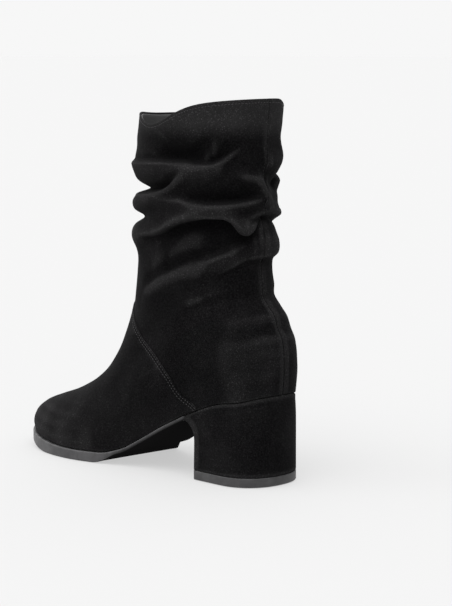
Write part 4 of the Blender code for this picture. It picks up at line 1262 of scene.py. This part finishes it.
def makeHeel():
    layers = []
    bottom = heel["topPiece"] + heel["bottomGap"]
    for level in np.concatenate([heel["lowSteps"], np.linspace(*heel["evenSteps"]), heel["topSteps"]]):
        back, width, lip = [float(curve(heelLevels[:, 0], heelLevels[:, i], level)) for i in (1, 2, 3)]
        below = max(0.0, 1 - level / heel["lowEdgeEnd"])
        above = max(0.0, (level - heel["topEdgeFrom"]) / (1 - heel["topEdgeFrom"]))
        inset = heel["lowEdge"] * below ** 2 + heel["topEdge"] * above ** 2
        ring = heelRing(back, width, heel["breast"] + lip * heel["lip"], inset)
        ring[:, 2] = bottom + level * (ring[:, 2] - heel["seatGap"] - bottom)
        layers.append(ring)
    piece = makeLofted("heel", layers, asIs, asIs, heel["across"], heelSuedeFinish)
    markWearLightAndShade(piece, heel["crest"])
    return piece


def makeTopPiece():
    back, width = heelLevels[0, 1], heelLevels[0, 2]
    thickness, edge = heel["topPiece"], heel["topPieceEdge"]
    upperEdge = edge * heel["topPieceUpperEdge"]
    turns = quarterTurn(6)
    profile = [(edge * (1 - math.cos(t)), edge * (1 - math.sin(t))) for t in turns]      # height, inset
    profile += [(thickness / 2, 0.0)]
    profile += [(thickness - upperEdge * (1 - math.sin(t)), upperEdge * (1 - math.cos(t))) for t in turns]
    layers = []
    for height, inset in profile:
        ring = heelRing(back, width, heel["breast"], inset)
        ring[:, 2] = height
        layers.append(ring)
    return makeLofted("heel_cap", layers, asIs, asIs, heel["across"], topPieceFinish)


def makeInsole():
    count, edge, thickness = insoleSizes["columns"], insoleSizes["edge"], insoleSizes["thickness"]
    angles = (np.arange(count) + 0.5) * 360 / count
    reach = upper["wall"] + 2 * clearance
    profile = [(0.0, 0.0)]               # height, inset
    profile += [(thickness - edge * (1 - math.sin(t)), edge * (1 - math.cos(t))) for t in quarterTurn(4)]
    layers = []
    for height, inset in profile:
        ring = bareForm(angles, 0) - levelOutward(angles, 0) * (reach + inset)
        ring[:, 2] = featherHeight(ring[:, 0]) + seatLift(ring[:, 0]) + clearance + height
        layers.append(ring)

    def dished(point, inward):
        rim = float(featherHeight(point[0]) + seatLift(point[0])) + clearance + thickness
        return np.array([point[0], point[1], rim - insoleSizes["pad"] * math.sin(math.pi * inward)])

    return makeLofted(
        "insole_cover", layers, asIs, dished, insoleSizes["across"], insoleFinish,
    )


def markUnderAndShade(piece):
    # the underside is painted dark, partly a darker tread and partly painted shade on faces turned down; the
    # lower part of the thin side at the waist gets painted shade
    mesh = piece.data
    facing = np.array([v.normal.z for v in mesh.vertices])
    x, y, z = np.array([v.co[:] for v in mesh.vertices]).T
    rise = (z - soleUnderside(x, y)) / sole["waist"]
    fadeStart, fadeEnd = [sole["treadRear"] - before for before in sole["waistShadeEnd"]]
    atWaist = 1 - ease(x, fadeStart, fadeEnd)
    # painted shade low on the thin side at the waist
    lowSideShade = sole["waistShade"] * atWaist * (1 - ease(rise, *sole["waistShadeRise"]))
    setMark(mesh, "underAndShade", np.maximum(ease(-facing, *sole["underFacing"]), lowSideShade))


outsole = makeOutsole()
markUnderAndShade(outsole)
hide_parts("outsole")
heelPiece = makeHeel()
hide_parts("heel_block")
topPiece = makeTopPiece()
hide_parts("top_piece")
insole = makeInsole()
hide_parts("insole")
print("boot: sole and heel")

for name, finish in (("zip_tape", tapeFinish), ("zip_slider", metalFinish), ("zip_pull", metalFinish)):
    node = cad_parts[name]
    node.data.materials.clear()
    node.data.materials.append(finish)

# Stitches follow paths on the surface.
stitch = {
    "length": 0.0015,
    "pitch": 0.0022,
    "width": 0.00040,
    "height": 0.00030,
    "sway": 0.07,                        # how far a stitch may lie turned, in radians
    "seed": 5,
    "segments": 8,
    "rings": 6,
    "vampRows": (0.0015, 0.0035),        # distances from the edge that each row follows
    "zipRows": (0.0014, 0.0036),
    "collarRow": 0.0026,
    "seamRow": 0.0018,
    "vampEnds": 0.6,                     # angle left free at each end of the vamp's edge
    "collarEnds": (0.8, 1.0),            # angles left free beside the seam at the back and the zip
    "perDegree": 1.4,
    "seamFrom": 0.02,
    "upTo": 0.985,
}


def socketOf(tree, name):
    for item in tree.interface.items_tree:
        if item.item_type == "SOCKET" and item.in_out == "INPUT" and item.name == name:
            return item.identifier
    raise KeyError(name)


def makeStitchTree():
    tree = bpy.data.node_groups.new("stitchRow", "GeometryNodeTree")
    tree.interface.new_socket("Geometry", in_out="INPUT", socket_type="NodeSocketGeometry")
    for name in ("Pitch", "Length", "Width", "Height"):
        tree.interface.new_socket(name, in_out="INPUT", socket_type="NodeSocketFloat")
    tree.interface.new_socket("Seed", in_out="INPUT", socket_type="NodeSocketInt")
    tree.interface.new_socket("Finish", in_out="INPUT", socket_type="NodeSocketMaterial")
    tree.interface.new_socket("Geometry", in_out="OUTPUT", socket_type="NodeSocketGeometry")
    nodes, links = tree.nodes, tree.links
    given, made = nodes.new("NodeGroupInput"), nodes.new("NodeGroupOutput")
    outward = nodes.new("GeometryNodeInputNamedAttribute")
    outward.data_type = "FLOAT_VECTOR"
    outward.inputs["Name"].default_value = "outward"
    path = nodes.new("GeometryNodeMeshToCurve")
    even = nodes.new("GeometryNodeResampleCurve")
    even.mode = "LENGTH"
    tangent = nodes.new("GeometryNodeInputTangent")
    facing = nodes.new("FunctionNodeAxesToRotation")
    facing.primary_axis, facing.secondary_axis = "Z", "X"
    sway = nodes.new("FunctionNodeRandomValue")
    sway.data_type = "FLOAT"
    sway.inputs["Min"].default_value = -stitch["sway"]
    sway.inputs["Max"].default_value = stitch["sway"]
    spin = nodes.new("FunctionNodeAxisAngleToRotation")
    spin.inputs["Axis"].default_value = (0.0, 0.0, 1.0)
    both = nodes.new("FunctionNodeRotateRotation")
    both.rotation_space = "LOCAL"
    bead = nodes.new("GeometryNodeMeshUVSphere")
    bead.inputs["Segments"].default_value = stitch["segments"]
    bead.inputs["Rings"].default_value = stitch["rings"]
    bead.inputs["Radius"].default_value = 0.5
    sizes = nodes.new("ShaderNodeCombineXYZ")
    place = nodes.new("GeometryNodeInstanceOnPoints")
    realize = nodes.new("GeometryNodeRealizeInstances")
    finish = nodes.new("GeometryNodeSetMaterial")
    shade = nodes.new("GeometryNodeSetShadeSmooth")
    links.new(given.outputs["Geometry"], path.inputs["Mesh"])
    links.new(path.outputs["Curve"], even.inputs["Curve"])
    links.new(given.outputs["Pitch"], even.inputs["Length"])
    links.new(even.outputs["Curve"], place.inputs["Points"])
    links.new(bead.outputs["Mesh"], place.inputs["Instance"])
    links.new(outward.outputs["Attribute"], facing.inputs["Primary Axis"])
    links.new(tangent.outputs["Tangent"], facing.inputs["Secondary Axis"])
    links.new(given.outputs["Seed"], sway.inputs["Seed"])
    links.new(sway.outputs[1], spin.inputs["Angle"])      # its output 1 is the plain number
    links.new(facing.outputs["Rotation"], both.inputs["Rotation"])
    links.new(spin.outputs["Rotation"], both.inputs["Rotate By"])
    links.new(both.outputs["Rotation"], place.inputs["Rotation"])
    for socket, name in zip(("X", "Y", "Z"), ("Length", "Width", "Height")):
        links.new(given.outputs[name], sizes.inputs[socket])
    links.new(sizes.outputs["Vector"], place.inputs["Scale"])
    links.new(place.outputs["Instances"], realize.inputs["Geometry"])
    links.new(realize.outputs["Geometry"], shade.inputs["Geometry"])
    links.new(shade.outputs["Geometry"], finish.inputs["Geometry"])
    links.new(given.outputs["Finish"], finish.inputs["Material"])
    links.new(finish.outputs["Geometry"], made.inputs["Geometry"])
    return tree


stitchTree = makeStitchTree()


def followPaths(name, paths, sizes, finish):
    # each path is its points and the directions out of the surface there
    points, edges, out = [], [], []
    for places, normals in paths:
        start = len(points)
        points += [tuple(p) for p in places]
        out += [tuple(n) for n in normals]
        edges += [(start + i, start + i + 1) for i in range(len(places) - 1)]
    mesh = bpy.data.meshes.new(name + "Path")
    mesh.from_pydata(points, edges, [])
    attribute = mesh.attributes.new("outward", "FLOAT_VECTOR", "POINT")
    attribute.data.foreach_set("vector", np.array(out, np.float32).ravel())
    carrier = bpy.data.objects.new(name + "Path", mesh)
    bpy.context.collection.objects.link(carrier)
    modifier = carrier.modifiers.new("stitchRow", "NODES")
    modifier.node_group = stitchTree
    for key, value in {**sizes, "Finish": finish}.items():
        modifier[socketOf(stitchTree, key)] = value
    graph = bpy.context.evaluated_depsgraph_get()
    result = bpy.data.meshes.new_from_object(carrier.evaluated_get(graph))
    result.name = name
    bpy.data.objects.remove(carrier)
    return takeIn(name, result)


def surfaceOf(piece):
    work = bmesh.new()
    work.from_mesh(piece.data)
    tree = BVHTree.FromBMesh(work)
    work.free()
    return tree


def laidOn(tree, points, normals, offset, reach=0.006):
    # moves a path sideways along the surface by offset and sets it down again
    lift = 0.002
    points, normals = np.asarray(points), np.asarray(normals)
    tangent = unit(np.gradient(points, axis=0))
    side = unit(np.cross(normals, tangent))
    places, out = [], []
    for point, normal in zip(points + side * offset + normals * lift, normals):
        start, direction = Vector(point), Vector(normal)
        hit, facing, _, _ = tree.ray_cast(start, -direction, reach)
        if hit is not None:
            places.append(hit)
            out.append(facing)
    return places, out


stitchSizes = {
    "Pitch": stitch["pitch"], "Length": stitch["length"], "Width": stitch["width"],
    "Height": stitch["height"], "Seed": stitch["seed"],
}


def sewVamp():
    angles = np.linspace(vampStart + stitch["vampEnds"], vampEnd - stitch["vampEnds"], 420)
    climb = vampTop(angles)
    points = surface(angles, climb, -upper["lap"])
    normals = outwardOf(angles, climb)
    tree = surfaceOf(vamp)
    rows = [laidOn(tree, points, normals, offset) for offset in stitch["vampRows"]]
    return followPaths("vamp_stitches", rows, stitchSizes, threadFinish)


def sewnLine(tree, angles, climbs):
    return laidOn(tree, surface(angles, climbs, 0), outwardOf(angles, climbs), 0.0)


def sewShaft():
    outer, inner = surfaceOf(shaftOuter), surfaceOf(shaftInner)
    rows = []
    collar = np.array(1 - stitch["collarRow"] / form["shaftHeight"])
    atBack, atZip = stitch["collarEnds"]
    spans = (
        (outer, atBack, float(zipEdge(collar, -1)) - atZip),
        (inner, float(zipEdge(collar, 1)) + atZip, 360 - atBack),
    )
    for tree, start, end in spans:
        angles = np.linspace(start, end, int((end - start) * stitch["perDegree"]))
        rows.append(sewnLine(tree, angles, collar))
    climbs = np.linspace(zipEndClimb + zipSizes["sewnFrom"], stitch["upTo"], 260)
    for tree, side in ((outer, -1), (inner, 1)):
        for offset in stitch["zipRows"]:
            away = zipSizes["gap"] / 2 + offset
            angles = 360 + zipAngle(climbs) + side * away / arcSpeed(zipAngle(climbs), climbs)
            rows.append(sewnLine(tree, angles, climbs))
    climbs = np.linspace(stitch["seamFrom"], stitch["upTo"], 300)
    angles = stitch["seamRow"] / arcSpeed(np.zeros_like(climbs), climbs)
    seam = [sewnLine(outer, angles, climbs)]
    return (
        followPaths("shaft_stitches", rows, stitchSizes, threadFinish),
        followPaths("seam_stitches", seam, stitchSizes, darkThreadFinish),
    )


teeth = {
    "pitch": 0.0013,
    "length": 0.0009,
    "width": 0.0026,
    "height": 0.0011,
    "seed": 9,
    "aside": 0.00095,
    "sunk": 0.0003,
    "over": 0.0010,                      # start of the rays that find the tape, over the leather
    "reach": 0.012,
    "upTo": 0.945,
    "stagger": 3,                        # path points by which the second row starts later
}


def makeTeeth():
    # two rows of coil turns, half a pitch apart, along the rib of the tape
    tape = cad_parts["zip_tape"]
    work = bmesh.new()
    work.from_mesh(tape.data)
    work.transform(tape.matrix_world)
    tree = BVHTree.FromBMesh(work)
    work.free()
    climbs = np.linspace(zipEndClimb + zipSizes["sewnFrom"], teeth["upTo"], 240)
    angles = 360 + zipAngle(climbs)
    middle, normals = surface(angles, climbs, -teeth["over"]), levelOutward(angles, climbs)
    rows = []
    for offset, start in ((teeth["aside"], 0), (-teeth["aside"], teeth["stagger"])):
        places, out = laidOn(tree, middle[start:], normals[start:], offset, teeth["reach"])
        rows.append(([Vector(p) - Vector(n) * teeth["sunk"] for p, n in zip(places, out)], out))
    sizes = {
        "Pitch": teeth["pitch"], "Length": teeth["length"], "Width": teeth["width"],
        "Height": teeth["height"], "Seed": teeth["seed"],
    }
    return followPaths("zip_teeth", rows, sizes, teethFinish)


zipTeeth = makeTeeth()
vampStitches = sewVamp()
shaftStitches, seamStitches = sewShaft()
print("boot: stitches", len(vampStitches.data.polygons), len(shaftStitches.data.polygons))
